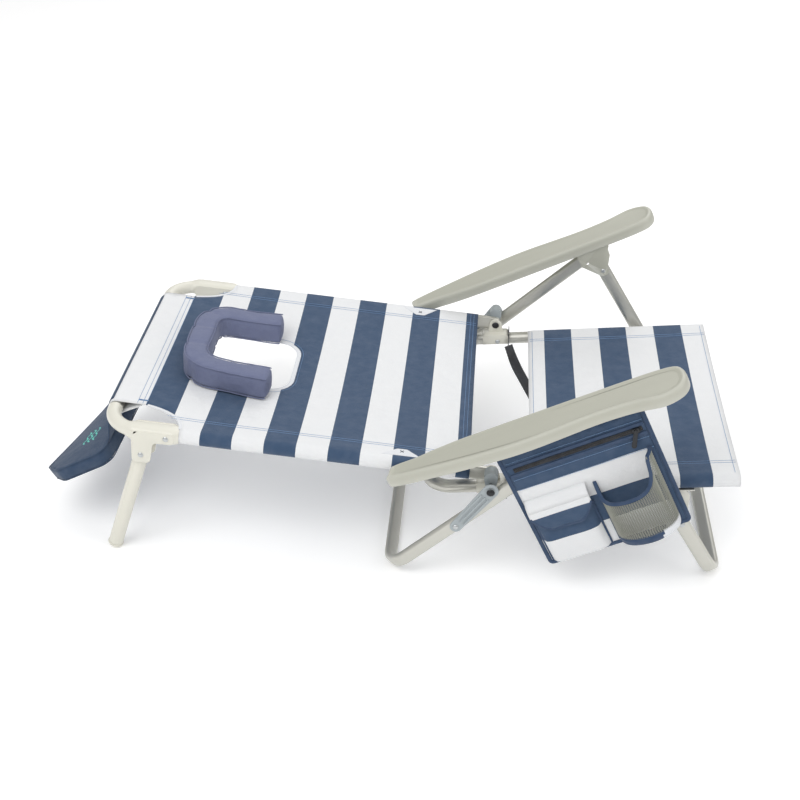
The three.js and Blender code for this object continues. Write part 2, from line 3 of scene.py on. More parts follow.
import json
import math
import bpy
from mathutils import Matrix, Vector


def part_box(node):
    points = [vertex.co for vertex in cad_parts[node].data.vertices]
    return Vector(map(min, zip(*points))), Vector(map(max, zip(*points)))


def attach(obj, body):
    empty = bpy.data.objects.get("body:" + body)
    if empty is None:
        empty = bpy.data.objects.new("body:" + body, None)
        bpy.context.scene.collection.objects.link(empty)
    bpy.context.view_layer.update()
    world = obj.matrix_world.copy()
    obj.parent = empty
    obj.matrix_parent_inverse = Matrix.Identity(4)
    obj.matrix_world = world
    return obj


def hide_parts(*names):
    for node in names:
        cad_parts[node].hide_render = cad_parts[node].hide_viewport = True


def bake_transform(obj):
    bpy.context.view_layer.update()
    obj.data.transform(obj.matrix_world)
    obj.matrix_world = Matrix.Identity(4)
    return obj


bl_info = {
    "name": "Beach Lounger",
    "version": (1, 0, 0),
    "blender": (4, 5, 0),
    "location": "View3D > Sidebar > Lounger",
    "description": "Builds the cloth, tubes, mouldings and stage of a low folding beach lounger",
    "category": "Add Mesh",
}

import bmesh
import bpy
from bpy.props import FloatProperty, FloatVectorProperty, PointerProperty
from mathutils import Matrix, Vector, noise
from mathutils.geometry import delaunay_2d_cdt
from mathutils.kdtree import KDTree

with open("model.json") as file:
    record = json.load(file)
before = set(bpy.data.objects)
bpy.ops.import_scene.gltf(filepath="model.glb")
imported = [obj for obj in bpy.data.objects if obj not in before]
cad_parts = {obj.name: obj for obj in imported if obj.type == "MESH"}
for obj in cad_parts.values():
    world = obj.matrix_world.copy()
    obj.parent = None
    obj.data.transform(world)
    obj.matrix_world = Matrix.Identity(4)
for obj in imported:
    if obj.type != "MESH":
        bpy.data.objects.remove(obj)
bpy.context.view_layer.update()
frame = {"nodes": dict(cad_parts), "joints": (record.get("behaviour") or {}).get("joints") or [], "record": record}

MM = 0.001
JOINTS = {joint["name"]: joint for joint in frame["joints"]}
NODE_BODY = {
    node: body
    for body, nodes in frame["record"]["behaviour"]["bodies"].items()
    for node in nodes
}
NODE_SLOT = {part["node"]: part["material_slot"] for part in frame["record"]["subparts"]}
SIDES = (("right", -1), ("left", 1))


def local_frame(origin, slope):
    """Maps a flat drawing in millimetres, X along and Z up from a surface, onto the chair."""
    turn = Matrix.Rotation(slope, 4, "Y")
    return Matrix.Translation(origin) @ turn @ Matrix.Scale(MM, 4)


HINGE = Vector(JOINTS["back_hinge"]["pos_m"])
ARM_PIVOT = Vector(JOINTS["arm_pivot"]["pos_m"])
SLIDE = Vector(JOINTS["zipper_slide"]["axis"])
SEAT_SLOPE = math.radians(4.9)
BACK_SLOPE = math.atan2(ARM_PIVOT.z - HINGE.z, HINGE.x - ARM_PIVOT.x)
ARM_SLOPE = math.atan2(-SLIDE.z, -SLIDE.x)
SEAT = local_frame((0, 0, 0.174), -SEAT_SLOPE)
BACK = local_frame(HINGE, BACK_SLOPE)
ARM = local_frame(ARM_PIVOT, -ARM_SLOPE)
WORLD = Matrix.Scale(MM, 4)

# Sizes shared by several pieces, in millimetres
TUBE = 12.5
CLOTH_LINE = 13.7  # from a tube's middle to the middle of the cloth round it
CLOTH_THICK = 1.3
STRIPE = 59
SEAT_RAIL = 278
SEAT_REAR_BAR = -118
SEAT_FRONT = 446
SEAT_HEMS = (73, 452)
BACK_RAIL = 289
BACK_LENGTH = 712
BACK_HIP_HEM = -40
SLEEVE_SEAM = 38  # how far inboard of a rail its sleeve is sewn shut
POUCH_FACE = -352.6


# ---------------------------------------------------------------- settings


def hex_colour(code):
    """An sRGB hex colour as linear RGB."""
    channels = [int(code[i : i + 2], 16) / 255 for i in (1, 3, 5)]
    return tuple(c / 12.92 if c <= 0.04045 else ((c + 0.055) / 1.055) ** 2.4 for c in channels)


def colour_setting(name, description, code):
    return FloatVectorProperty(
        name=name,
        description=description,
        subtype="COLOR",
        size=3,
        min=0,
        max=1,
        default=hex_colour(code),
    )


def length_setting(name, description, default, low, high):
    return FloatProperty(
        name=name,
        description=description,
        default=default * MM,
        min=low * MM,
        max=high * MM,
        unit="LENGTH",
    )


class LoungerCloth(bpy.types.PropertyGroup):
    """Colours of the cloth, and how far the slings dip"""

    navy: colour_setting("Navy", "Dark stripe of the sling cloth", "#324B69")
    white: colour_setting("White", "Light stripe of the sling cloth", "#EAEBEC")
    cushion: colour_setting("Cushion", "Cover of the face cushion", "#6B7290")
    pillow: colour_setting("Pillow", "Cover of the hanging pillow", "#2B425E")
    motif: colour_setting("Motif", "Wave printed on the pillow", "#62D6C4")
    seat_sag: length_setting("Seat sag", "Dip in the middle of the seat", 9, 0, 40)
    back_sag: length_setting("Back sag", "Dip in the middle of the back", 17, 0, 40)


class LoungerFrame(bpy.types.PropertyGroup):
    """Colours of the frame, and the rounding of its fittings"""

    tube: colour_setting("Tube", "Anodised tube of the seat, back and legs", "#C9C8C0")
    enamel: colour_setting("Enamel", "Head legs and cast brackets", "#DCDACE")
    arm: colour_setting("Arm", "Moulded armrests", "#B1B1A4")
    link: colour_setting("Link", "Moulded links and spacers", "#A9B1B4")
    edge_round: length_setting("Edge rounding", "Rounding of the moulded edges", 1.1, 0.2, 3)


# ---------------------------------------------------------------- mesh tools


def piece(name, shape, body, material, place=WORLD, smooth=True, replaces=()):
    """A mesh object from (points, faces), drawn in millimetres in a local frame."""
    points, faces = shape
    mesh = bpy.data.meshes.new(name)
    mesh.from_pydata([place @ Vector(point) for point in points], [], faces)
    work = bmesh.new()
    work.from_mesh(mesh)
    bmesh.ops.remove_doubles(work, verts=work.verts, dist=0.02 * MM)
    bmesh.ops.recalc_face_normals(work, faces=work.faces)
    work.to_mesh(mesh)
    work.free()
    mesh.polygons.foreach_set("use_smooth", [smooth] * len(mesh.polygons))
    mesh.set_sharp_from_angle(angle=math.radians(42))
    mesh.materials.append(material)
    made = bpy.data.objects.new(name, mesh)
    bpy.context.scene.collection.objects.link(made)
    if body:
        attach(made, body)
    if replaces:
        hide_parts(*replaces)
    return made


def joined(*shapes):
    points = []
    faces = []
    for more_points, more_faces in shapes:
        start = len(points)
        points.extend(more_points)
        faces.extend([[start + i for i in face] for face in more_faces])
    return points, faces


def bend(corners, radius, steps=10):
    """A line through corners, each rounded to the radius."""
    corners = [Vector(corner) for corner in corners]
    path = [corners[0]]
    for before, corner, after in zip(corners, corners[1:], corners[2:]):
        into = (corner - before).normalized()
        away = (after - corner).normalized()
        turn = into.angle(away)
        start = corner - into * radius * math.tan(turn / 2)
        side = (away - into * away.dot(into)).normalized()
        for step in range(steps + 1):
            angle = turn * step / steps
            forward = into * radius * math.sin(angle)
            path.append(start + forward + side * radius * (1 - math.cos(angle)))
    path.append(corners[-1])
    return path


def spread(path, spacing, closed=False):
    """The same line with points every spacing or closer."""
    points = []
    ends = list(zip(path, path[1:] + path[:1])) if closed else list(zip(path, path[1:]))
    for start, end in ends:
        count = max(1, math.ceil((end - start).length / spacing))
        points.extend(start.lerp(end, i / count) for i in range(count))
    if not closed:
        points.append(path[-1])
    return points


def circle(radius, sides=24):
    return [
        (radius * math.cos(2 * math.pi * i / sides), radius * math.sin(2 * math.pi * i / sides))
        for i in range(sides)
    ]


def flat_round(half_width, half_height, sides=8):
    """A section with flat sides and half-round top and bottom."""
    flat = half_height - half_width
    outline = []
    for centre, start in ((flat, 0), (-flat, math.pi)):
        for i in range(sides + 1):
            angle = start + math.pi * i / sides
            outline.append((half_width * math.cos(angle), centre + half_width * math.sin(angle)))
    return outline


def soft_square(half_width, half_height, power=4, sides=32):
    outline = []
    for i in range(sides):
        angle = 2 * math.pi * i / sides
        c, s = math.cos(angle), math.sin(angle)
        x = math.copysign(abs(c) ** (2 / power), c) * half_width
        y = math.copysign(abs(s) ** (2 / power), s) * half_height
        outline.append((x, y))
    return outline


def sweep(path, section, up=(0, 0, 1), closed=False, caps=True):
    """Carries a section along a line. Its first number is across the line and its second is up."""
    path = [Vector(point) for point in path]
    count = len(path)
    points = []
    for i, place in enumerate(path):
        before = path[i - 1] if i or closed else place
        after = path[(i + 1) % count] if i + 1 < count or closed else place
        along = (after - before).normalized()
        side = along.cross(Vector(up)).normalized()
        rise = side.cross(along)
        outline = section(i / max(count - 1, 1)) if callable(section) else section
        points.extend(place + side * u + rise * v for u, v in outline)
    size = len(points) // count
    faces = []
    for i in range(count if closed else count - 1):
        a, b = i * size, ((i + 1) % count) * size
        for j in range(size):
            k = (j + 1) % size
            faces.append([a + j, a + k, b + k, b + j])
    if caps and not closed:
        faces.append(list(range(size)))
        faces.append(list(range(len(points) - size, len(points))))
    return points, faces


def grid(rows):
    """A skin over rows of points, all of one length."""
    width = len(rows[0])
    points = [point for row in rows for point in row]
    faces = []
    for i in range(len(rows) - 1):
        for j in range(width - 1):
            a = i * width + j
            faces.append([a, a + 1, a + width + 1, a + width])
    return points, faces


def spin(profile, centre, sides=24):
    """Turns (radius, y) pairs round a line across the chair."""
    rows = []
    for i in range(sides + 1):
        angle = 2 * math.pi * i / sides
        rows.append(
            [
                centre + Vector((r * math.cos(angle), y, r * math.sin(angle)))
                for r, y in profile
            ]
        )
    return grid(rows)


def inside(point, loop):
    found = False
    for a, b in zip(loop, loop[1:] + loop[:1]):
        if (a.y > point.y) != (b.y > point.y):
            if point.x < a.x + (b.x - a.x) * (point.y - a.y) / (b.y - a.y):
                found = not found
    return found


def clear_of(point, loop, gap):
    return all((point - edge).length > gap for edge in loop)


def panel(outline, holes=(), spacing=16):
    """Triangles that fill an outline, round its holes, with even inner points."""
    loops = [[Vector(p).to_2d() for p in loop] for loop in (outline, *holes)]
    points = []
    edges = []
    for loop in loops:
        start = len(points)
        points.extend(loop)
        edges.extend((start + i, start + (i + 1) % len(loop)) for i in range(len(loop)))
    rim = list(points)
    low_x, high_x = min(p.x for p in rim), max(p.x for p in rim)
    low_y, high_y = min(p.y for p in rim), max(p.y for p in rim)

    def covered(point):
        return inside(point, loops[0]) and not any(inside(point, hole) for hole in loops[1:])

    if spacing:
        for i in range(int((high_x - low_x) / spacing) + 2):
            for j in range(int((high_y - low_y) / spacing) + 2):
                shift = spacing / 2 if i % 2 else 0
                spot = Vector((low_x + i * spacing, low_y + j * spacing + shift))
                if covered(spot) and clear_of(spot, rim, spacing * 0.55):
                    points.append(spot)
    made = delaunay_2d_cdt(points, edges, [], 1, 1e-4)
    faces = []
    for face in made[2]:
        middle = sum((made[0][i] for i in face), Vector((0, 0))) / len(face)
        if covered(middle):
            faces.append(list(face))
    return list(made[0]), faces


def rounded_box(x0, x1, y0, y1, radius, steps=6):
    """A rounded rectangle as a closed loop of points."""
    loop = []
    corners = ((x1, y1, 0), (x0, y1, 1), (x0, y0, 2), (x1, y0, 3))
    for x, y, quarter in corners:
        cx = x - radius if quarter in (0, 3) else x + radius
        cy = y - radius if quarter in (0, 1) else y + radius
        for i in range(steps + 1):
            angle = (quarter + i / steps) * math.pi / 2
            loop.append(Vector((cx + radius * math.cos(angle), cy + radius * math.sin(angle), 0)))
    return loop


def stitch_line(path, lift, pitch=5.0, length=3.4, radius=0.45):
    """A row of sewn stitches lying on a line of points, raised by lift along the normals."""
    path = spread([Vector(p) for p in path], pitch)
    shapes = []
    for a, b in zip(path, path[1:]):
        along = b - a
        if along.length < 1e-6:
            continue
        along.normalize()
        side = along.cross(lift).normalized() * radius
        rise = lift.normalized() * radius
        start, end = a + lift, a + lift + along * length
        ring = [side, rise, -side, -rise]
        points = [start - along * radius * 0.6]
        points += [start + r for r in ring] + [end + r for r in ring]
        points += [end + along * radius * 0.6]
        faces = []
        for i in range(4):
            k = (i + 1) % 4
            faces.append([0, 1 + k, 1 + i])
            faces.append([1 + i, 1 + k, 5 + k, 5 + i])
            faces.append([9, 5 + i, 5 + k])
        shapes.append((points, faces))
    return joined(*shapes)


def thicken(made, thickness):
    skin = made.modifiers.new("cloth thickness", "SOLIDIFY")
    skin.thickness = thickness * MM
    skin.offset = 0
    return made


def outline_area(loop):
    """The area inside a flat closed outline."""
    return abs(sum(a.x * b.y - b.x * a.y for a, b in zip(loop, loop[1:] + loop[:1]))) / 2


def soften(node, material, width):
    """A copy of a CAD node with rounded edges, shown in its place."""
    mesh = frame["nodes"][node].data.copy()
    work = bmesh.new()
    work.from_mesh(mesh)
    bmesh.ops.remove_doubles(work, verts=work.verts, dist=0.01 * MM)
    bmesh.ops.dissolve_limit(
        work, angle_limit=math.radians(1), verts=work.verts, edges=work.edges
    )
    work.to_mesh(mesh)
    work.free()
    mesh.polygons.foreach_set("use_smooth", [True] * len(mesh.polygons))
    mesh.materials.clear()
    mesh.materials.append(material)
    made = bpy.data.objects.new(f"{node}_moulded", mesh)
    bpy.context.scene.collection.objects.link(made)
    rounding = made.modifiers.new("rounded edges", "BEVEL")
    rounding.width = width
    rounding.segments = 3
    rounding.limit_method = "ANGLE"
    rounding.angle_limit = math.radians(40)
    rounding.harden_normals = True
    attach(made, NODE_BODY[node])
    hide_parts(node)
    return made


# ---------------------------------------------------------------- materials


def add_node(tree, kind, inputs=None, **settings):
    node = tree.nodes.new(kind)
    for name, value in settings.items():
        setattr(node, name, value)
    for key, value in (inputs or {}).items():
        if isinstance(value, bpy.types.NodeSocket):
            tree.links.new(value, node.inputs[key])
        else:
            node.inputs[key].default_value = value
    return node


def rgba(colour):
    return (*colour, 1)


def local_coordinates(tree, place):
    """Chair coordinates seen from a local frame, in metres."""
    spot, turn, _ = place.decompose()
    coordinates = add_node(tree, "ShaderNodeTexCoord")
    mapped = add_node(
        tree,
        "ShaderNodeMapping",
        {"Vector": coordinates.outputs["Object"], "Location": spot, "Rotation": turn.to_euler()},
        vector_type="TEXTURE",
    )
    return mapped.outputs["Vector"]


def math_node(tree, operation, first, second=0.0):
    return add_node(tree, "ShaderNodeMath", {0: first, 1: second}, operation=operation).outputs[0]


def blend_colours(tree, factor, first, second):
    node = add_node(tree, "ShaderNodeMix", {0: factor, 6: first, 7: second}, data_type="RGBA")
    return node.outputs[2]


def noise_value(tree, vector, size, detail=3.0):
    """Noise whose patches are about size metres across."""
    inputs = {"Vector": vector, "Scale": 1 / size, "Detail": detail}
    return add_node(tree, "ShaderNodeTexNoise", inputs).outputs["Fac"]


def mottled(tree, vector, colour, size, depth):
    """A colour that darkens a little in soft patches."""
    patches = math_node(tree, "MULTIPLY", noise_value(tree, vector, size), depth)
    return blend_colours(tree, patches, colour, (0.02, 0.02, 0.03, 1))


def raised(tree, height, depth, strength=1.0):
    inputs = {"Height": height, "Distance": depth, "Strength": strength}
    return add_node(tree, "ShaderNodeBump", inputs).outputs["Normal"]


def weave_height(tree, vector, pitch, turn=0.0):
    """Over and under of two sets of threads, pitch metres apart."""
    vector = add_node(
        tree, "ShaderNodeMapping", {"Vector": vector, "Rotation": (0, 0, turn)}
    ).outputs["Vector"]
    parts = add_node(tree, "ShaderNodeSeparateXYZ", {"Vector": vector})
    waves = []
    for output in ("X", "Y"):
        angle = math_node(tree, "MULTIPLY", parts.outputs[output], 2 * math.pi / pitch)
        waves.append(math_node(tree, "SINE", angle))
    return math_node(tree, "MULTIPLY", waves[0], waves[1])


def start_material(name, colour, roughness, metallic=0.0):
    material = bpy.data.materials.new(name)
    material.use_nodes = True
    tree = material.node_tree
    tree.nodes.clear()
    shader = add_node(
        tree,
        "ShaderNodeBsdfPrincipled",
        {"Base Color": rgba(colour), "Roughness": roughness, "Metallic": metallic},
    )
    add_node(tree, "ShaderNodeOutputMaterial", {"Surface": shader.outputs["BSDF"]})
    return material, tree, shader


def shared(make):
    """Keeps one material for each name, made when it is first asked for."""
    kept = {}

    def find(*arguments):
        key = (make.__name__, *[str(argument) for argument in arguments])
        if key not in kept:
            kept[key] = make(*arguments)
        return kept[key]

    return find


@shared
def anodised_aluminium():
    """Drawn tube, satin anodised: soft long highlights and faint draw lines."""
    colour = bpy.context.scene.lounger_frame.tube
    material, tree, shader = start_material("anodised_aluminium_drawn", colour, 0.36, 0.8)
    place = add_node(tree, "ShaderNodeTexCoord").outputs["Object"]
    drawn = add_node(tree, "ShaderNodeMapping", {"Vector": place, "Scale": (0.06, 1, 1)})
    lines = noise_value(tree, drawn.outputs["Vector"], 0.0016)
    rough = add_node(tree, "ShaderNodeMapRange", {0: lines, 3: 0.28, 4: 0.46})
    tree.links.new(rough.outputs[0], shader.inputs["Roughness"])
    tree.links.new(raised(tree, lines, 0.00006), shader.inputs["Normal"])
    tree.links.new(mottled(tree, place, rgba(colour), 0.09, 0.07), shader.inputs["Base Color"])
    return material


@shared
def baked_enamel():
    """Powder coat baked on steel and cast brackets: warm white, slightly pebbled gloss."""
    colour = bpy.context.scene.lounger_frame.enamel
    material, tree, shader = start_material("baked_enamel", colour, 0.34)
    shader.inputs["Coat Weight"].default_value = 0.25
    shader.inputs["Coat Roughness"].default_value = 0.2
    place = add_node(tree, "ShaderNodeTexCoord").outputs["Object"]
    pebbles = noise_value(tree, place, 0.0022)
    tree.links.new(raised(tree, pebbles, 0.00012), shader.inputs["Normal"])
    tree.links.new(mottled(tree, place, rgba(colour), 0.05, 0.06), shader.inputs["Base Color"])
    return material


@shared
def moulded_abs():
    """Injection-moulded ABS with a fine spark texture: even and satin, and paler along its convex edges, which is
    a painted highlight.
    """
    colour = bpy.context.scene.lounger_frame.arm
    material, tree, shader = start_material("abs_moulded_grey", colour, 0.42)
    place = add_node(tree, "ShaderNodeTexCoord").outputs["Object"]
    grain = noise_value(tree, place, 0.0018, 4.0)
    tree.links.new(raised(tree, grain, 0.00014), shader.inputs["Normal"])
    flow = add_node(tree, "ShaderNodeMapping", {"Vector": place, "Scale": (0.25, 1.5, 1)})
    base = mottled(tree, flow.outputs["Vector"], rgba(colour), 0.05, 0.07)
    edge = add_node(tree, "ShaderNodeNewGeometry").outputs["Pointiness"]
    # Painted highlight: the colour pales towards light grey on convex edges, where light would catch the bevel.
    edge_highlight_mask = add_node(tree, "ShaderNodeMapRange", {0: edge, 1: 0.51, 2: 0.6, 3: 0.0, 4: 0.4})
    edge_highlighted = blend_colours(tree, edge_highlight_mask.outputs[0], base, (0.8, 0.8, 0.75, 1))
    tree.links.new(edge_highlighted, shader.inputs["Base Color"])
    return material


@shared
def moulded_nylon():
    """Glass-filled nylon of the links and spacers: cool grey with a dull bloom."""
    colour = bpy.context.scene.lounger_frame.link
    material, tree, shader = start_material("nylon_moulded_grey", colour, 0.48)
    place = add_node(tree, "ShaderNodeTexCoord").outputs["Object"]
    fibre = noise_value(tree, place, 0.0014, 4.0)
    tree.links.new(raised(tree, fibre, 0.0001), shader.inputs["Normal"])
    tree.links.new(mottled(tree, place, rgba(colour), 0.02, 0.12), shader.inputs["Base Color"])
    return material


@shared
def plated_steel(dark):
    """Zinc-plated or blackened steel, tumbled: small bright highlights."""
    colour = hex_colour("#3B3C3E" if dark else "#BFC2C3")
    name = "steel_blackened" if dark else "steel_zinc_plated"
    material, tree, shader = start_material(name, colour, 0.3, 0.9)
    place = add_node(tree, "ShaderNodeTexCoord").outputs["Object"]
    tumbled = noise_value(tree, place, 0.001)
    rough = add_node(tree, "ShaderNodeMapRange", {0: tumbled, 3: 0.22, 4: 0.45})
    tree.links.new(rough.outputs[0], shader.inputs["Roughness"])
    return material


def cloth_finish(tree, shader, vector, colour, pitch, turn=0.0, crease=0.00035):
    """Weave with painted shade in its low threads, soft creases and a faint sheen, on a colour."""
    threads = weave_height(tree, vector, pitch, turn)
    folds = noise_value(tree, vector, 0.045, 4.0)
    creased = raised(tree, folds, crease * 12)
    woven = add_node(
        tree,
        "ShaderNodeBump",
        {"Height": threads, "Distance": pitch * 0.1, "Strength": 0.55, "Normal": creased},
    )
    tree.links.new(woven.outputs["Normal"], shader.inputs["Normal"])
    # Painted shade: the colour darkens a little where the weave's threads dip, as if shaded in the hollows between
    # them.
    shade = add_node(tree, "ShaderNodeMapRange", {0: threads, 1: -1, 3: 0.16, 4: 0.0})
    weave_shaded = blend_colours(tree, shade.outputs[0], colour, (0.01, 0.012, 0.02, 1))
    slubs = noise_value(tree, vector, 0.02, 5.0)
    faded = add_node(tree, "ShaderNodeMapRange", {0: slubs, 1: 0.35, 2: 0.75, 3: 0.0, 4: 0.05})
    tone = blend_colours(tree, faded.outputs[0], weave_shaded, (0.45, 0.5, 0.6, 1))
    tree.links.new(tone, shader.inputs["Base Color"])
    shader.inputs["Sheen Weight"].default_value = 0.12
    shader.inputs["Sheen Roughness"].default_value = 0.5


def stripe_mask(tree, distance, start, limit):
    """1 in the navy bands, which start at a distance and repeat, and 0 past the limit."""
    shifted = math_node(tree, "SUBTRACT", distance, start * MM)
    place = math_node(tree, "FLOORED_MODULO", shifted, 2 * STRIPE * MM)
    band = math_node(tree, "LESS_THAN", place, STRIPE * MM)
    ended = math_node(tree, "LESS_THAN", distance, limit * MM)
    return math_node(tree, "MULTIPLY", band, ended)


THREAD_PITCH = 0.0021  # drawn about three times as coarse as the real weave, so that it shows


@shared
def striped_sling(part):
    """Piece-dyed polyester duck in navy and white bands: matt, plain weave, crisp band edges."""
    cloth = bpy.context.scene.lounger_cloth
    material, tree, shader = start_material(f"polyester_duck_{part}", cloth.white, 0.82)
    place, output, sign, start, limit = {
        "seat": (SEAT, "X", 1, 108, 1000),
        "back": (BACK, "X", -1, 6.3, 655.3),
        "pouch": (ARM, "Z", -1, 154 - 2 * STRIPE, 1000),
    }[part]
    vector = local_coordinates(tree, place)
    parts = add_node(tree, "ShaderNodeSeparateXYZ", {"Vector": vector})
    distance = math_node(tree, "MULTIPLY", parts.outputs[output], sign)
    if part == "pouch":
        distance = math_node(tree, "MAXIMUM", distance, (start + 1) * MM)
    band = stripe_mask(tree, distance, start, limit)
    if part == "pouch":
        edge = math_node(tree, "GREATER_THAN", parts.outputs["X"], 431 * MM)
        band = math_node(tree, "MAXIMUM", band, edge)
    colour = blend_colours(tree, band, rgba(cloth.white), rgba(cloth.navy))
    if part == "pouch":
        parts = add_node(
            tree,
            "ShaderNodeCombineXYZ",
            {"X": parts.outputs["X"], "Y": parts.outputs["Z"], "Z": parts.outputs["Y"]},
        )
        vector = parts.outputs[0]
    cloth_finish(tree, shader, vector, colour, THREAD_PITCH)
    return material


@shared
def plain_cloth(name, setting, pitch):
    """Plain-woven polyester in one colour."""
    colour = getattr(bpy.context.scene.lounger_cloth, setting)
    material, tree, shader = start_material(f"polyester_{name}", colour, 0.85)
    vector = add_node(tree, "ShaderNodeTexCoord").outputs["Object"]
    cloth_finish(tree, shader, vector, rgba(colour), pitch, crease=0.0005)
    return material


@shared
def dyed(name, code, roughness):
    """A narrow trim in one colour: binding, thread, tape or moulded teeth."""
    material, tree, shader = start_material(name, hex_colour(code), roughness)
    vector = add_node(tree, "ShaderNodeTexCoord").outputs["Object"]
    cloth_finish(tree, shader, vector, rgba(hex_colour(code)), 0.0016)
    return material


@shared
def pillow_cloth():
    """Plain-woven polyester with a small printed row of waves near one end."""
    cloth = bpy.context.scene.lounger_cloth
    material, tree, shader = start_material("polyester_pillow_printed", cloth.pillow, 0.85)
    vector = add_node(tree, "ShaderNodeTexCoord").outputs["Object"]
    middle = pillow_point(64, -146, 0)
    toward_far = (pillow_point(64, -136, 0) - middle).normalized()
    outward = (pillow_point(74, -146, 0) - middle).normalized()
    above = toward_far.cross(outward).normalized()
    turn = Matrix((toward_far, outward, above)).transposed().to_4x4()
    place = Matrix.Translation(middle * MM) @ turn @ Matrix.Scale(MM, 4)
    parts = add_node(
        tree, "ShaderNodeSeparateXYZ", {"Vector": local_coordinates(tree, place)}
    )
    along, across, through = (
        math_node(tree, "MULTIPLY", parts.outputs[axis], 1 / MM) for axis in ("X", "Y", "Z")
    )
    on_top = math_node(tree, "LESS_THAN", math_node(tree, "ABSOLUTE", through), 12)
    swing = math_node(tree, "SINE", math_node(tree, "MULTIPLY", along, 2 * math.pi / 22))
    height = math_node(tree, "SUBTRACT", across, math_node(tree, "MULTIPLY", swing, 3.2))
    repeat = math_node(tree, "PINGPONG", height, 6)
    line = math_node(tree, "MULTIPLY", math_node(tree, "LESS_THAN", repeat, 2), on_top)
    for low_or_high, value, edge in (
        ("GREATER_THAN", along, -26),
        ("LESS_THAN", along, 26),
        ("GREATER_THAN", across, -15),
        ("LESS_THAN", across, 15),
    ):
        line = math_node(tree, "MULTIPLY", line, math_node(tree, low_or_high, value, edge))
    colour = blend_colours(tree, line, rgba(cloth.pillow), rgba(cloth.motif))
    cloth_finish(tree, shader, vector, colour, THREAD_PITCH)
    return material


@shared
def webbing_material():
    """Woven nylon webbing: black, with ribs across it."""
    material, tree, shader = start_material("nylon_webbing", hex_colour("#2E2E30"), 0.7)
    vector = add_node(tree, "ShaderNodeTexCoord").outputs["Object"]
    cloth_finish(tree, shader, vector, rgba(hex_colour("#2E2E30")), 0.0028, math.radians(45))
    return material


@shared
def knitted_mesh():
    """Open warp-knitted polyester: grey yarn round small holes."""
    material, tree, shader = start_material("polyester_mesh_knitted", hex_colour("#9C9D93"), 0.7)
    vector = add_node(tree, "ShaderNodeTexCoord").outputs["Object"]
    yarn = noise_value(tree, vector, 0.0015)
    tree.links.new(raised(tree, yarn, 0.0002), shader.inputs["Normal"])
    return material


def binding(part):
    return dyed(f"polyester_binding_{part}", {"white": "#E4E6E9", "navy": "#2A4160"}[part], 0.8)


def thread():
    return dyed("polyester_thread", "#7396C0", 0.6)


SLOT_MATERIALS = {
    "aluminium_tube": anodised_aluminium,
    "ivory_plastic": baked_enamel,
    "grey_plastic": moulded_abs,
    "link_plastic": moulded_nylon,
}


# ---------------------------------------------------------------- tubes and legs


def draw_tubes():
    """The seat tube, the back tube with its pressed ends, and the two leg frames."""
    metal = anodised_aluminium()
    seat_path = bend(
        [
            (SEAT_FRONT, -SEAT_RAIL, 0),
            (SEAT_REAR_BAR, -SEAT_RAIL, 0),
            (SEAT_REAR_BAR, SEAT_RAIL, 0),
            (SEAT_FRONT, SEAT_RAIL, 0),
        ],
        46,
        14,
    )
    seat = sweep(seat_path, circle(TUBE, 28))
    piece("seat_tube_drawn", seat, "seat", metal, SEAT, replaces=["seat_tube"])

    reach = 13.4  # how far the pressed ends run past the hinge
    corners = [
        (reach, -BACK_RAIL, 0),
        (-BACK_LENGTH, -BACK_RAIL, 0),
        (-BACK_LENGTH, BACK_RAIL, 0),
        (reach, BACK_RAIL, 0),
    ]
    path = spread(bend(corners, 60, 14), 8)

    def pressed(share):
        x = path[round(share * (len(path) - 1))].x
        flat = min(1, max(0, (x + 66) / 30))
        half_width = TUBE + (5.5 - TUBE) * flat
        half_height = TUBE + 1.2 * flat
        if x > 0:
            half_height = max(0.6, math.sqrt(max(0, reach**2 - x**2)))
        return soft_square(half_width, half_height, 2 + 3 * flat, 28)

    back = sweep(path, pressed)
    piece("back_tube_drawn", back, "back", metal, BACK, replaces=["back_tube"])

    for name, past, extra in (("rear_leg", 12, 334), ("front_leg", 11, 309.8)):
        draw_leg(name, past, extra, metal)


LEG_ENDS = {
    "rear_leg": ((-185, 12.1), (191, 354)),
    "front_leg": ((425, 10.6), (225.4, 338.7)),
}


def draw_leg(name, past_pivot, side, metal):
    (foot_x, foot_z), (top_x, top_z) = LEG_ENDS[name]
    run, rise = top_x - foot_x, top_z - foot_z
    length = math.hypot(run, rise) + past_pivot
    place = local_frame((foot_x * MM, 0, foot_z * MM), -math.atan2(rise, run))
    path = bend([(length, -side, 0), (0, -side, 0), (0, side, 0), (length, side, 0)], 44, 14)
    shape = sweep(path, flat_round(6.8, 14))
    piece(f"{name}_drawn", shape, name, metal, place, replaces=[name])


def draw_head_legs():
    """Two round legs with rolled tops, and their moulded feet."""
    enamel = baked_enamel()
    pivot = Vector(JOINTS["head_leg_left_fold"]["pos_m"]) / MM
    foot = Vector((-724, 0, 3.6))
    run, drop = pivot.x - foot.x, pivot.z - foot.z
    length = math.hypot(run, drop)
    place = local_frame((pivot.x * MM, 0, pivot.z * MM), math.atan2(run, drop))
    for side, sign in SIDES:
        centre = Vector((0, sign * 289, 0))
        profile = [(0, 12), (9, 12), (12.6, 10.6), (14, 7), (14, 8 - length), (0, 8 - length)]
        rows = upright(profile, centre)
        leg = f"head_leg_{side}"
        piece(f"{leg}_tube", rows, leg, enamel, place, replaces=[leg])
        cap = [(0, 7.6), (14.6, 7.6), (15.1, 6.8), (15.1, 4.6), (13.8, 2.2), (11.4, 0), (0, 0)]
        low = centre + Vector((0, 0, -length))
        foot_name = f"head_foot_{side}"
        piece(
            f"{foot_name}_cap",
            upright(cap, low),
            leg,
            enamel,
            place,
            replaces=[foot_name],
        )


def upright(profile, centre, sides=32):
    """Turns (radius, height) pairs round an upright line."""
    rows = []
    for i in range(sides + 1):
        angle = 2 * math.pi * i / sides
        rows.append(
            [
                centre + Vector((r * math.cos(angle), r * math.sin(angle), z))
                for r, z in profile
            ]
        )
    return grid(rows)


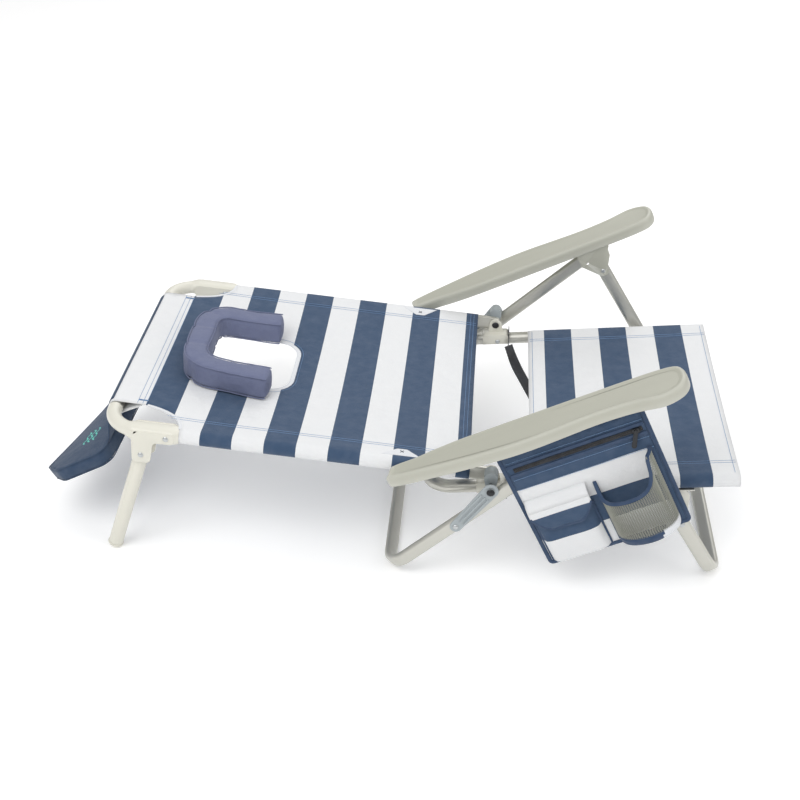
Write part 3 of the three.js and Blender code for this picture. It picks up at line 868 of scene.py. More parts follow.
def draw_brackets():
    """Moulded and pressed fittings, with their edges rounded as they leave the die."""
    width = bpy.context.scene.lounger_frame.edge_round
    for part in ("hinge_bracket", "drop_bracket", "arm_bracket"):
        round_both(part, width)
    for part in ("link", "hinge_spacer", "front_pivot_spacer", "seat_plug"):
        round_both(part, width * 0.7)


def round_both(part, width):
    for side, _ in SIDES:
        node = f"{part}_{side}"
        soften(node, SLOT_MATERIALS[NODE_SLOT[node]](), width)


CORNER_FOLD = (-645, -41)
CORNER_SCREW = (-596, 0)


def plate(loop, y0, y1, sign, edge=1.3):
    """A flat plate across the chair, its outline in X and Z, with its outer edge rounded."""
    clockwise = sum(a.cross(b) for a, b in zip(loop, loop[1:] + loop[:1])) < 0
    turn = -1 if clockwise else 1
    steps = ((0, y0), (0, y1 - edge), (edge * 0.3, y1 - edge * 0.3), (edge, y1))
    rows = []
    for depth, y in steps:
        ring = [Vector((p.x, sign * y, p.y)) for p in inset(loop, turn * depth)]
        rows.append(ring + ring[:1])
    shapes = [grid(rows)]
    for depth, y in (steps[0], steps[-1]):
        flat, faces = panel([(*p, 0) for p in inset(loop, turn * depth)], spacing=0)
        shapes.append(([Vector((p.x, sign * y, p.y)) for p in flat], faces))
    return joined(*shapes)


def draw_corner_brackets():
    """An elbow cast round the bend of the back tube, with a T-shaped cheek on each side of the leg."""
    enamel = baked_enamel()
    fold_x, fold_z = CORNER_FOLD
    screw_x, _ = CORNER_SCREW
    corners = [
        (fold_x - 10, 11),
        (screw_x + 13, 11),
        (screw_x + 13, -12),
        (fold_x + 22, -13),
        (fold_x + 17, fold_z - 17),
        (fold_x - 17, fold_z - 17),
        (fold_x - 18, -8),
        (fold_x - 18, 11),
        (fold_x - 10, 11),
    ]
    loop = [p.to_2d() for p in spread(bend([(*c, 0) for c in corners], 8, 6)[:-1], 8, closed=True)]
    for side, sign in SIDES:
        rail = sign * BACK_RAIL
        elbow = bend(
            [
                (screw_x + 20, rail, 0),
                (-BACK_LENGTH, rail, 0),
                (-BACK_LENGTH, sign * (HEAD_HALF_WIDTH + 3), 0),
            ],
            60,
            14,
        )
        elbow = spread(elbow, 6)

        def sleeve(share, line=elbow):
            x = line[round(share * (len(line) - 1))].x
            grip = min(1, max(0, (x - fold_x + 30) / 14))
            start = math.sqrt(max(0, 1 - max(0, (x - screw_x - 14) / 6) ** 2))
            size = 0.84 + 0.16 * start
            return soft_square(
                (13.6 + 3.6 * grip) * size, (13.5 + 1.5 * grip) * size, 2 + 1.1 * grip, 32
            )

        cheeks = [
            plate(loop, BACK_RAIL + 14.6, BACK_RAIL + 18, sign),
            plate(loop, BACK_RAIL - 14.6, BACK_RAIL - 18, sign, -1.3),
        ]
        piece(
            f"corner_bracket_{side}_cast",
            joined(sweep(elbow, sleeve), *cheeks),
            "back",
            enamel,
            BACK,
            replaces=[f"corner_bracket_{side}"],
        )


def draw_pins():
    """Domed rivets, pins and screws, each turned about its own line across the chair."""
    parts = ("bracket_rivet", "corner_screw", "head_leg_rivet", "arm_pivot_pin", "link_rivet")
    parts += ("front_pivot_rivet", "rear_leg_rivet", "front_leg_rivet", "hinge_bolt")
    for part in parts:
        dark = part == "hinge_bolt"
        for side, _ in SIDES:
            node = f"{part}_{side}"
            low, high = (Vector(corner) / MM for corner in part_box(node))
            centre = Vector(((low.x + high.x) / 2, 0, (low.z + high.z) / 2))
            head = (high.x - low.x) / 2
            dome = min(0.45 * head, (high.y - low.y) / 3)
            shank = head * (0.5 if dark else 0.55)
            near = [(0, low.y), (head * 0.42, low.y + dome * 0.1)]
            near += [(head * 0.82, low.y + dome * 0.45), (head, low.y + dome)]
            far = [(r, low.y + high.y - y) for r, y in reversed(near)]
            profile = [*near, (shank, low.y + dome), (shank, high.y - dome), *far]
            piece(
                f"{node}_turned",
                spin(profile, centre),
                NODE_BODY[node],
                plated_steel(dark),
                replaces=[node],
            )


# ---------------------------------------------------------------- armrests


def smooth_loop(corners, steps=6):
    """A closed curve that passes through every corner."""
    loop = []
    count = len(corners)
    for i in range(count):
        a, b, c, d = (Vector(corners[(i + k) % count]) for k in (-1, 0, 1, 2))
        for step in range(steps):
            t = step / steps
            pull = (c - a) * t + (2 * a - 5 * b + 4 * c - d) * t * t
            loop.append(b + (pull + (3 * b - a - 3 * c + d) * t**3) / 2)
    return loop


def inset(loop, distance):
    moved = []
    for i, corner in enumerate(loop):
        along = (loop[(i + 1) % len(loop)] - loop[i - 1]).normalized()
        moved.append(corner + Vector((-along.y, along.x)) * distance)
    return moved


ARM_OUTER = [(-20, 330), (-16, 346), (60, 361), (160, 375), (250, 380), (370, 371), (440, 374)]
ARM_OUTER += [(492, 385), (528, 372), (540, 342)]
ARM_INNER = [(531, 308), (500, 296), (420, 293.5), (160, 294.5), (80, 299), (36, 305.5)]
ARM_INNER += [(0, 306.5), (-16, 311)]
# How far in from the edge, and how high: up the skirt, over the ridge and down to the flat
ARM_SECTION = [(1.2, -8.5), (0.2, -7.6), (0, 4), (0.5, 8.6), (2.2, 11.9), (4.6, 13.4), (7, 13.5)]
ARM_SECTION += [(9.4, 12.7), (11.5, 11.9), (14, 11.6)]
ARM_HOLLOW = [(1.2, -8.5), (2.9, -7.8), (3.1, 8.4)]
ARM_CROWN = 0.5  # how much the flat top rises and falls along the arm
ARM_CROWN_RUN = 90
ARM_BOSS = (9.5, 306.5, 330)  # radius, and where it starts and ends across the chair


def draw_armrests():
    """Thin moulded shells with a rounded ridge along the edge and a boss at the pivot."""
    plastic = moulded_abs()
    loop = [Vector((p.x, p.y)) for p in smooth_loop([(*p, 0) for p in ARM_OUTER + ARM_INNER])]
    clockwise = sum(a.cross(b) for a, b in zip(loop, loop[1:] + loop[:1])) < 0
    turn = -1 if clockwise else 1
    for side, sign in SIDES:
        shapes = []
        for section, name in ((ARM_SECTION, "top"), (ARM_HOLLOW, "hollow")):
            rows = [ring_at(inset(loop, turn * depth), z, sign) for depth, z in section]
            shapes.append(grid(rows))
            depth, z = section[-1]
            spacing = 14 if name == "top" else 0
            flat, faces = panel([(*p, 0) for p in inset(loop, turn * depth)], spacing=spacing)
            edge = {(round(p.x, 2), round(sign * p.y, 2)) for p in rows[-1]}
            level = []
            for p in flat:
                spot = Vector((p.x, sign * p.y, z))
                if name == "top" and (round(spot.x, 2), round(spot.y, 2)) not in edge:
                    spot.z += ARM_CROWN * math.sin(p.x / ARM_CROWN_RUN)
                level.append(spot)
            shapes.append((level, faces))
        radius, boss_start, boss_end = ARM_BOSS
        boss = sweep([(0, sign * boss_start, 0), (0, sign * boss_end, 0)], circle(radius, 28))
        piece(
            f"armrest_{side}_shell",
            joined(*shapes, boss),
            "arms",
            plastic,
            ARM,
            replaces=[f"armrest_{side}"],
        )


def ring_at(loop, z, sign):
    ring = [Vector((p.x, sign * p.y, z)) for p in loop]
    return ring + ring[:1]


# ---------------------------------------------------------------- sling cloth


def cloth_section(rail, sag, seam):
    """Half of the cloth's run across the chair, from its sewn seam round the rail to the middle."""
    points = [(rail - seam, CLOTH_LINE - 2.6), (rail - seam * 0.8, CLOTH_LINE - 8)]
    for i in range(13):
        angle = math.radians(-118 + (92 + 118) * i / 12)
        points.append((rail + CLOTH_LINE * math.cos(angle), CLOTH_LINE * math.sin(angle)))
    steps = 16
    for i in range(1, steps + 1):
        y = rail * (1 - i / steps)
        points.append((y, CLOTH_LINE - sag * (1 - (y / rail) ** 2)))
    return points


def draw_seat_cloth():
    """The seat sling: one band of cloth, each edge taken round a rail and sewn back on itself."""
    cloth = bpy.context.scene.lounger_cloth
    rear, front = SEAT_HEMS
    rows = []
    count = 32
    for i in range(count + 1):
        share = i / count
        x = rear + (front - rear) * share
        sag = cloth.seat_sag / MM * (0.75 + 0.25 * math.sin(math.pi * share))
        half = cloth_section(SEAT_RAIL, sag, SLEEVE_SEAM)
        near = [Vector((x, -y, z)) for y, z in half]
        far = [Vector((x, y, z)) for y, z in reversed(half[:-1])]
        rows.append(near + far)
    for row in (rows[0], rows[-1]):
        for point in row:
            point.z -= 0.9
    made = piece(
        "seat_sling",
        grid(rows),
        "seat",
        striped_sling("seat"),
        SEAT,
        replaces=["seat_fabric"],
    )
    thicken(made, CLOTH_THICK)

    lift = Vector((0, 0, 0.9))
    lines = []
    for sign in (-1, 1):
        for inboard in (SLEEVE_SEAM - 4, SLEEVE_SEAM + 3):
            y = sign * (SEAT_RAIL - inboard)
            path = [seat_point(x, y) for x in range(rear + 4, front - 2, 12)]
            lines.append(stitch_line(path, lift))
    for x in (rear + 9, front - 9):
        path = [seat_point(x, y) for y in range(-SEAT_RAIL, SEAT_RAIL + 1, 12)]
        lines.append(stitch_line(path, lift))
    piece("seat_stitching", joined(*lines), "seat", thread(), SEAT)


def seat_point(x, y):
    rear, front = SEAT_HEMS
    share = (x - rear) / (front - rear)
    sag = bpy.context.scene.lounger_cloth.seat_sag / MM
    dip = sag * (0.75 + 0.25 * math.sin(math.pi * share)) * (1 - (y / SEAT_RAIL) ** 2)
    return Vector((x, y, CLOTH_LINE - dip))


CORNER_START = -576
CORNER_END = -652
HEAD_HALF_WIDTH = 221
FACE_HOLE = {"x0": -601, "x1": -403, "half_width": 95, "corner": 46}


def back_point(x, y):
    """A point of the back cloth, which dips between its rails and lies level at the head rail."""
    sag = bpy.context.scene.lounger_cloth.back_sag / MM
    held = min(1, (x + BACK_LENGTH) / 260)
    level = held * held * (3 - 2 * held)
    dip = sag * level * max(0, 1 - (y / BACK_RAIL) ** 2)
    return Vector((x, y, CLOTH_LINE - dip))


def corner_curve(sign):
    """The bound edge that leaves the rail and sweeps in to the head sleeve."""
    start, middle, end = (
        Vector((CORNER_START, sign * BACK_RAIL)),
        Vector((-578, sign * 236)),
        Vector((CORNER_END, sign * HEAD_HALF_WIDTH)),
    )
    steps = 10
    curve = []
    for i in range(steps + 1):
        t = i / steps
        curve.append(start * (1 - t) ** 2 + middle * 2 * t * (1 - t) + end * t * t)
    return curve


def even(start, end, spacing):
    count = max(1, round(abs(end - start) / spacing))
    return [start + (end - start) * i / count for i in range(count + 1)]


def draw_back_cloth():
    """The back sling: sleeves on both rails and the head rail, cut away at two corners."""
    spacing = 12
    rail_x = even(BACK_HIP_HEM, CORNER_START, spacing)
    head_y = even(-HEAD_HALF_WIDTH, HEAD_HALF_WIDTH, spacing)
    outline = [Vector((BACK_HIP_HEM, y)) for y in even(-BACK_RAIL, BACK_RAIL, spacing)][:-1]
    outline += [Vector((x, BACK_RAIL)) for x in rail_x][:-1]
    outline += corner_curve(1)[:-1]
    outline += [Vector((x, HEAD_HALF_WIDTH)) for x in even(CORNER_END, -BACK_LENGTH, spacing)][:-1]
    outline += [Vector((-BACK_LENGTH, y)) for y in reversed(head_y)][:-1]
    outline += [Vector((x, -HEAD_HALF_WIDTH)) for x in even(-BACK_LENGTH, CORNER_END, spacing)][:-1]
    outline += list(reversed(corner_curve(-1)))[:-1]
    outline += [Vector((x, -BACK_RAIL)) for x in reversed(rail_x)][:-1]
    hole = rounded_box(
        FACE_HOLE["x0"],
        FACE_HOLE["x1"],
        -FACE_HOLE["half_width"],
        FACE_HOLE["half_width"],
        FACE_HOLE["corner"],
        8,
    )
    flat, faces = panel([(*p, 0) for p in outline], [hole])
    shapes = [([back_point(p.x, p.y) for p in flat], faces)]

    turns = [math.radians(90 - 210 * i / 14) for i in range(15)]
    around = [(CLOTH_LINE * math.cos(a), CLOTH_LINE * math.sin(a)) for a in turns]
    around.append((-SLEEVE_SEAM * 0.8, CLOTH_LINE - 9))
    around.append((-SLEEVE_SEAM, CLOTH_LINE - 3.4))
    for sign in (-1, 1):
        rows = [
            [Vector((x, sign * (BACK_RAIL + out), z)) for out, z in around] for x in rail_x
        ]
        shapes.append(grid(rows))
    head_rows = [
        [Vector((-BACK_LENGTH - out * (1.3 if out < 0 else 1), y, z)) for out, z in around]
        for y in head_y
    ]
    shapes.append(grid(head_rows))
    made = piece(
        "back_sling",
        joined(*shapes),
        "back",
        striped_sling("back"),
        BACK,
        replaces=["back_fabric"],
    )
    side_sleeve = SLEEVE_SEAM + math.pi * CLOTH_LINE
    head_sleeve = SLEEVE_SEAM * 1.3 + math.pi * CLOTH_LINE
    cut = outline_area(outline) - outline_area(hole)
    cut += 2 * (BACK_HIP_HEM - CORNER_START) * side_sleeve
    cut += 2 * HEAD_HALF_WIDTH * head_sleeve
    thicken(made, CLOTH_THICK)
    draw_back_trim(hole)


def draw_back_trim(hole):
    """White binding round the face hole and the corners, stitching, bar tacks and arm patches."""
    tape = flat_round(0.9, 4.5, 4)
    rim = [back_point(p.x, p.y) for p in hole]
    shapes = [sweep(rim, [(v, u) for u, v in tape], closed=True)]
    for sign in (-1, 1):
        edge = [back_point(p.x, p.y) for p in corner_curve(sign)]
        shapes.append(sweep(edge, [(v, u) for u, v in flat_round(1.0, 3.2, 4)]))
    piece("back_binding", joined(*shapes), "back", binding("white"), BACK)

    lift = Vector((0, 0, 0.9))
    lines = []
    for sign in (-1, 1):
        for inboard in (SLEEVE_SEAM - 4, SLEEVE_SEAM + 3):
            y = sign * (BACK_RAIL - inboard)
            start = -608 if inboard > SLEEVE_SEAM else -600
            path = [back_point(x, y) for x in even(start, BACK_HIP_HEM - 4, 12)]
            lines.append(stitch_line(path, lift))
    for x in (BACK_HIP_HEM - 9, BACK_HIP_HEM - 16):
        lines.append(stitch_line([back_point(x, y) for y in even(-BACK_RAIL, BACK_RAIL, 12)], lift))
    for x in (-655, -662, -672):
        path = [back_point(x, y) for y in even(-HEAD_HALF_WIDTH + 3, HEAD_HALF_WIDTH - 3, 12)]
        lines.append(stitch_line(path, lift))
    outer = inset([p.to_2d() for p in hole], -9)
    path = [back_point(p.x, p.y) for p in outer]
    lines.append(stitch_line(path + path[:1], lift, 5, 3.2))
    for sign in (-1, 1):
        for x in (-659, -668):
            for step in range(3):
                y = sign * (HEAD_HALF_WIDTH - 12 - step * 1.3)
                bar = [back_point(x - 4, y), back_point(x + 4, y)]
                lines.append(stitch_line(bar, lift * 1.6, 4, 4, 0.6))
    piece("back_stitching", joined(*lines), "back", thread(), BACK)

    patches = []
    for sign in (-1, 1):
        corners = ((-205, 287), (-132, 287), (-158, 262), (-176, 262))
        top = [back_point(x, sign * y) + Vector((0, 0, 1.3)) for x, y in corners]
        low = [p - Vector((0, 0, 1.1)) for p in top]
        sides = [[i, (i + 1) % 4, 4 + (i + 1) % 4, 4 + i] for i in range(4)]
        patches.append((top + low, [[0, 1, 2, 3], [7, 6, 5, 4], *sides]))
    piece(
        "back_arm_patches",
        joined(*patches),
        "back",
        binding("white"),
        BACK,
    )
    crosses = []
    for sign in (-1, 1):
        middle = back_point(-167, sign * 272) + Vector((0, 0, 1.4))
        for dx, dy in ((3.4, 3.4), (3.4, -3.4)):
            arm = Vector((dx, dy, 0))
            crosses.append(stitch_line([middle - arm, middle + arm], lift * 0.3, 12, 9, 0.7))
    dark = dyed("polyester_thread_dark", "#2B3442", 0.6)
    piece("back_arm_tacks", joined(*crosses), "back", dark, BACK)


# ---------------------------------------------------------------- cushion and pillow


def inflate(made, seams, pressure, limit, voxel=4.5):
    """Blows a cover up from inside with the cloth solver, held where its seams are sewn."""
    scene = bpy.context.scene
    even_mesh = made.modifiers.new("even cloth", "REMESH")
    even_mesh.mode = "VOXEL"
    even_mesh.voxel_size = voxel * MM
    even_mesh.use_smooth_shade = True
    bake(made)
    start = [vertex.co.copy() for vertex in made.data.vertices]
    sewn = made.vertex_groups.new(name="sewn")
    tree = KDTree(len(seams))
    for i, place in enumerate(seams):
        tree.insert(place, i)
    tree.balance()
    held = [i for i, place in enumerate(start) if tree.find(place)[2] < voxel * 0.8 * MM]
    sewn.add(held, 1, "REPLACE")
    cloth = made.modifiers.new("cloth", "CLOTH")
    cloth.settings.quality = 5
    cloth.settings.mass = 0.25
    cloth.settings.use_pressure = True
    cloth.settings.uniform_pressure_force = pressure
    cloth.settings.effector_weights.gravity = 0
    cloth.settings.vertex_group_mass = "sewn"
    cloth.collision_settings.use_collision = False
    last_frame = 20
    cloth.point_cache.frame_start = 1
    cloth.point_cache.frame_end = last_frame
    for step in range(1, last_frame + 1):
        scene.frame_set(step)
    bake(made)
    scene.frame_set(1)
    for vertex, place in zip(made.data.vertices, start):
        moved = vertex.co - place
        if moved.length > limit * MM:
            vertex.co = place + moved.normalized() * limit * MM


def bake(made):
    """Applies every modifier of a piece to its mesh."""
    graph = bpy.context.evaluated_depsgraph_get()
    mesh = bpy.data.meshes.new_from_object(made.evaluated_get(graph), depsgraph=graph)
    old = made.data
    materials = list(old.materials)
    made.modifiers.clear()
    made.data = mesh
    mesh.materials.clear()
    for material in materials:
        mesh.materials.append(material)
    mesh.name = made.name
    mesh.polygons.foreach_set("use_smooth", [True] * len(mesh.polygons))


CUSHION = {"low": 15, "height": 50, "inner": 73, "outer": 125, "head_x": -594, "hip_x": -436}
CUSHION_BEND = 48  # radius of the line through its two corners
CUSHION_SLACK = 1.5  # the cover is drawn this much small, because it swells
CUSHION_SIDES = 44
PINCH_WIDTH = 3.4  # half the length that a sewn joint pulls in
WELT = 1.3


def draw_cushion():
    """Horseshoe face cushion: sewn foam lengths with pinched joints and a welt round the top."""
    inner, outer = CUSHION["inner"], CUSHION["outer"]
    centre_y = (inner + outer) / 2
    head_x, hip_x = CUSHION["head_x"], CUSHION["hip_x"]
    flat_path = bend(
        [
            (hip_x, -centre_y - 10, 0),
            (head_x, -centre_y + 2, 0),
            (head_x, centre_y - 12, 0),
            (hip_x - 8, centre_y - 6, 0),
        ],
        CUSHION_BEND,
        12,
    )
    flat_path = spread(flat_path, 5)
    half_width, half_height = (outer - inner) / 2, CUSHION["height"] / 2
    middle = CUSHION["low"] - CLOTH_LINE + half_height + CUSHION_SLACK
    path = [back_point(p.x, p.y * 1.08) + Vector((0, 0, middle)) for p in flat_path]
    lengths = [0.0]
    for a, b in zip(path, path[1:]):
        lengths.append(lengths[-1] + (b - a).length)
    total = lengths[-1]
    arm_run = hip_x - head_x
    joints = (arm_run - 14, total / 2 - 34, total / 2 + 34, total - arm_run + 14)

    def fullness(place):
        pinch = sum(math.exp(-(((place - joint) / PINCH_WIDTH) ** 2)) for joint in joints)
        end = min(place, total - place)
        rounded = math.sqrt(max(0, 1 - (1 - min(1, end / 6)) ** 2))
        swell = 1 + 0.02 * math.sin(place / 17)
        return (0.45 + 0.55 * rounded) * (1 - 0.12 * min(1, pinch)) * swell

    outline = soft_square(half_width - CUSHION_SLACK, half_height - 1, 5.5, CUSHION_SIDES)

    def section(share):
        full = fullness(lengths[round(share * (len(path) - 1))])
        return [(u * full, v * full) for u, v in outline]

    points, faces = sweep(path, section)
    rippled = []
    for i, point in enumerate(points):
        ring, turn = divmod(i, CUSHION_SIDES)
        away = (point - path[ring]).normalized()
        crease = noise.noise(Vector((lengths[ring] / 6, math.sin(turn / CUSHION_SIDES * 6.3) * 1.5, 4)))
        swell = noise.noise(point / 34)
        rippled.append(point + away * (0.8 * crease + 1.2 * swell))
    made = piece(
        "face_cushion_cover",
        (rippled, faces),
        None,
        plain_cloth("cushion", "cushion", THREAD_PITCH),
        BACK,
        replaces=["face_cushion"],
    )
    lines = []
    for across in (-1, 1):
        for height in (-1, 1):
            line = []
            for i in range(1, len(path) - 1):
                along = (path[i + 1] - path[i - 1]).normalized()
                side = along.cross(Vector((0, 0, 1))).normalized()
                full = fullness(lengths[i])
                wander = 0.6 * noise.noise(Vector((lengths[i] / 14, across, height)))
                out = across * (half_width - CUSHION_SLACK) * full * 0.93
                rise = height * (half_height - 1) * full * 0.9 + wander
                line.append(path[i] + side * out + Vector((0, 0, rise)))
            lines.append(line)
    inflate(made, [BACK @ place for line in lines for place in spread(line, 3)], 4, 4)
    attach(made, "back")
    smoother = made.modifiers.new("soft cover", "SUBSURF")
    smoother.levels = smoother.render_levels = 1
    welts = [sweep(line, circle(WELT, 8)) for line in lines]
    piece(
        "face_cushion_welts",
        joined(*welts),
        "back",
        plain_cloth("welt", "cushion", THREAD_PITCH),
        BACK,
    )


PILLOW = {"near": -246, "far": 214, "width": 140, "thick": 32, "drop": 84, "out": 29}
HEAD_RAIL = BACK @ Vector((-BACK_LENGTH, 0, 0)) / MM


def pillow_point(out, y, up):
    """A point of the pillow: how far out from its sewn edge, along the rail, and through it."""
    across = (y - PILLOW["near"]) / (PILLOW["far"] - PILLOW["near"])
    tilt = math.radians(27 + 31 * across)
    edge = HEAD_RAIL + Vector((-PILLOW["out"], 0, -PILLOW["drop"]))
    x = edge.x - out * math.cos(tilt) - up * math.sin(tilt)
    z = edge.z - out * math.sin(tilt) + up * math.cos(tilt)
    return Vector((x, y, z))


def draw_pillow():
    """The hanging pillow: a foam slab in a boxed cover, rounded at its outer corners."""
    width, thick = PILLOW["width"], PILLOW["thick"]
    near, far = PILLOW["near"], PILLOW["far"]
    corners = [
        (width / 2, far),
        (0, far),
        (0, near),
        (width - 30, near),
        (width + 15, near + 46),
        (width - 2, far),
        (width / 2, far),
    ]
    outline = bend([(*corner, 0) for corner in corners], 26, 8)[:-1]
    rim = [Vector((p.x, p.y)) for p in spread(outline, 12, closed=True)]
    shapes = []
    for face_sign in (1, -1):
        flat, faces = panel([(*p, 0) for p in inset(rim, 3)], spacing=14)
        skin = []
        for spot in flat:
            depth = min((spot - edge).length for edge in rim)
            crown = 1.5 * min(1, depth / 40) + 0.8 * noise.noise(Vector((spot.x, spot.y, 0)) / 30)
            up = -thick / 2 + face_sign * (thick / 2 - 2.2 + crown * min(1, depth / 20))
            skin.append(pillow_point(spot.x, spot.y, up))
        shapes.append((skin, faces))
    rows = []
    for depth, up in ((3, -2.2), (0.8, -3.4), (0, -6), (0, -26), (0.8, -28.6), (3, -29.8)):
        ring = [pillow_point(p.x, p.y, up) for p in inset(rim, depth)]
        rows.append(ring + ring[:1])
    shapes.append(grid(rows))
    made = piece(
        "pillow_cover",
        joined(*shapes),
        None,
        pillow_cloth(),
        replaces=["pillow"],
    )
    lines = []
    for up in (-2.6, -29.4):
        lines.append([pillow_point(p.x, p.y, up) for p in inset(rim, 1.2)])
    inflate(made, [place * MM for line in lines for place in spread(line, 3, closed=True)], 3, 5)
    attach(made, "pillow")
    seams = [sweep(line, circle(1.2, 8), closed=True) for line in lines]
    piece(
        "pillow_piping",
        joined(*seams),
        "pillow",
        plain_cloth("piping", "pillow", THREAD_PITCH),
    )
    draw_pillow_flap()


def draw_pillow_flap():
    """The cloth that hangs the pillow from the head sleeve, with soft gathers."""
    rows = []
    for y in even(-212, 208, 10):
        row = []
        for i in range(7):
            angle = math.radians(112 + 68 * i / 6)
            radius = CLOTH_LINE + 1.8
            around = Vector((radius * math.cos(angle), 0, radius * math.sin(angle)))
            row.append(HEAD_RAIL + around + Vector((0, y, 0)))
        top, edge = row[-1], pillow_point(1.5, y, -6)
        for i in range(1, 9):
            share = i / 8
            wave = 1.6 * math.sin(y / 26 + 2 * share) * math.sin(math.pi * share)
            row.append(top.lerp(edge, share) + Vector((wave - 0.5, 0, 0)))
        rows.append(row)
    made = piece(
        "pillow_hanging_flap",
        grid(rows),
        None,
        plain_cloth("flap", "pillow", THREAD_PITCH),
        replaces=["pillow_flap"],
    )
    thicken(made, CLOTH_THICK)
    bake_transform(made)


# ---------------------------------------------------------------- strap and pouch


def draw_strap():
    """The carry strap: webbing slung under the seat, with a sewn loop round each rail."""
    x, rail = 30, 252
    path = bend(
        [
            (x, -rail, 172),
            (x + 16, -232, 136),
            (x + 62, -110, 116),
            (x + 62, 110, 116),
            (x + 16, 232, 136),
            (x, rail, 172),
        ],
        60,
        6,
    )
    path = spread(path, 10)
    band = soft_square(12, 0.9, 6, 20)
    shapes = [sweep(path, band, up=(0.12, 0, 1))]
    loop_radius = 14.6
    centre_z = 174 + x * math.tan(SEAT_SLOPE)
    for sign in (-1, 1):
        loop = [
            (
                x,
                sign * (SEAT_RAIL + loop_radius * math.cos(2 * math.pi * i / 28)),
                centre_z + loop_radius * math.sin(2 * math.pi * i / 28),
            )
            for i in range(28)
        ]
        upright_band = [(v, u) for u, v in soft_square(0.8, 12, 6, 16)]
        shapes.append(sweep(loop, upright_band, up=(1, 0, 0), closed=True))
    piece(
        "carry_strap_webbing",
        joined(*shapes),
        "seat",
        webbing_material(),
        replaces=["carry_strap"],
    )


def out_of_pouch(a, b, out):
    """A point in front of the pouch, along the arm, up from it and out from its panel."""
    return Vector((a, POUCH_FACE - out, b))


POUCH = {"a0": 184, "a1": 449, "low": -268, "high": -10.5}


def draw_pouch():
    """The pouch's bound panel, its zip and the welts beside it."""
    navy = binding("navy")
    outline = rounded_box(POUCH["a0"], POUCH["a1"], POUCH["low"], POUCH["high"], 6, 4)
    rim = spread(outline, 12, closed=True)
    flat, faces = panel([(p.x, p.y, 0) for p in rim], spacing=12)
    skin = []
    for p in flat:
        ripple = 1.1 * noise.noise(Vector((p.x, p.y, 0)) / 60)
        hang = 0.9 * math.sin((p.x - POUCH["a0"]) / 42) * (POUCH["high"] - p.y) / 258
        skin.append(out_of_pouch(p.x, p.y, 1.6 + ripple + hang))
    made = piece(
        "pouch_back_panel",
        (skin, faces),
        "arms",
        striped_sling("pouch"),
        ARM,
        replaces=["pouch_panel"],
    )
    thicken(made, 1.2)
    edge = [out_of_pouch(p.x, p.y, 2.2) for p in rim]
    tape = [(v, u) for u, v in flat_round(1.5, 4.0, 4)]
    shape = sweep(edge, tape, up=(0, 1, 0), closed=True)
    piece("pouch_binding", shape, "arms", navy, ARM)

    a0, a1, b = 200, 438, -52
    welts = []
    for offset in (9.5, -10.5):
        line = [out_of_pouch(a, b + offset, 3.4) for a in even(a0 - 10, a1 + 5, 12)]
        welts.append(sweep(line, [(v, u) for u, v in flat_round(0.8, 3.4, 4)], up=(0, 1, 0)))
    piece("pouch_zip_welts", joined(*welts), "arms", navy, ARM)
    tape_line = [out_of_pouch(a, b, 3.4) for a in even(a0, a1, 12)]
    tape_shape = sweep(tape_line, [(v, u) for u, v in soft_square(0.5, 4.4, 6, 16)], up=(0, 1, 0))
    black = dyed("polyester_zip_tape", "#1B1B1D", 0.8)
    piece(
        "pouch_zip_tape",
        tape_shape,
        "arms",
        black,
        ARM,
        replaces=["zipper_tape"],
    )
    teeth = []
    for i, a in enumerate(even(a0 + 2, a1 - 2, 1.9)):
        rise = 0.55 if i % 2 else -0.55
        tooth = sweep(
            [out_of_pouch(a - 0.55, b + rise, 4.2), out_of_pouch(a + 0.55, b + rise, 4.2)],
            soft_square(1.5, 0.5, 4, 8),
            up=(0, 1, 0),
        )
        teeth.append(tooth)
    coil = dyed("polyester_zip_coil", "#1D1B1B", 0.45)
    piece("pouch_zip_teeth", joined(*teeth), "arms", coil, ARM)
    soften("zipper_slider", plated_steel(True), 0.6 * MM)
    soften("zipper_pull", plated_steel(True), 0.4 * MM)

    lift = Vector((0, -0.6, 0))
    lines = []
    for b_line in (-34, -72, -95):
        path = [out_of_pouch(a, b_line, 2.7) for a in even(a0 - 8, a1 + 6, 12)]
        lines.append(stitch_line(path, lift))
    piece("pouch_stitching", joined(*lines), "arms", thread(), ARM)


PHONE = {"a0": 192, "a1": 304, "low": -262, "high": -164, "depth": 14}


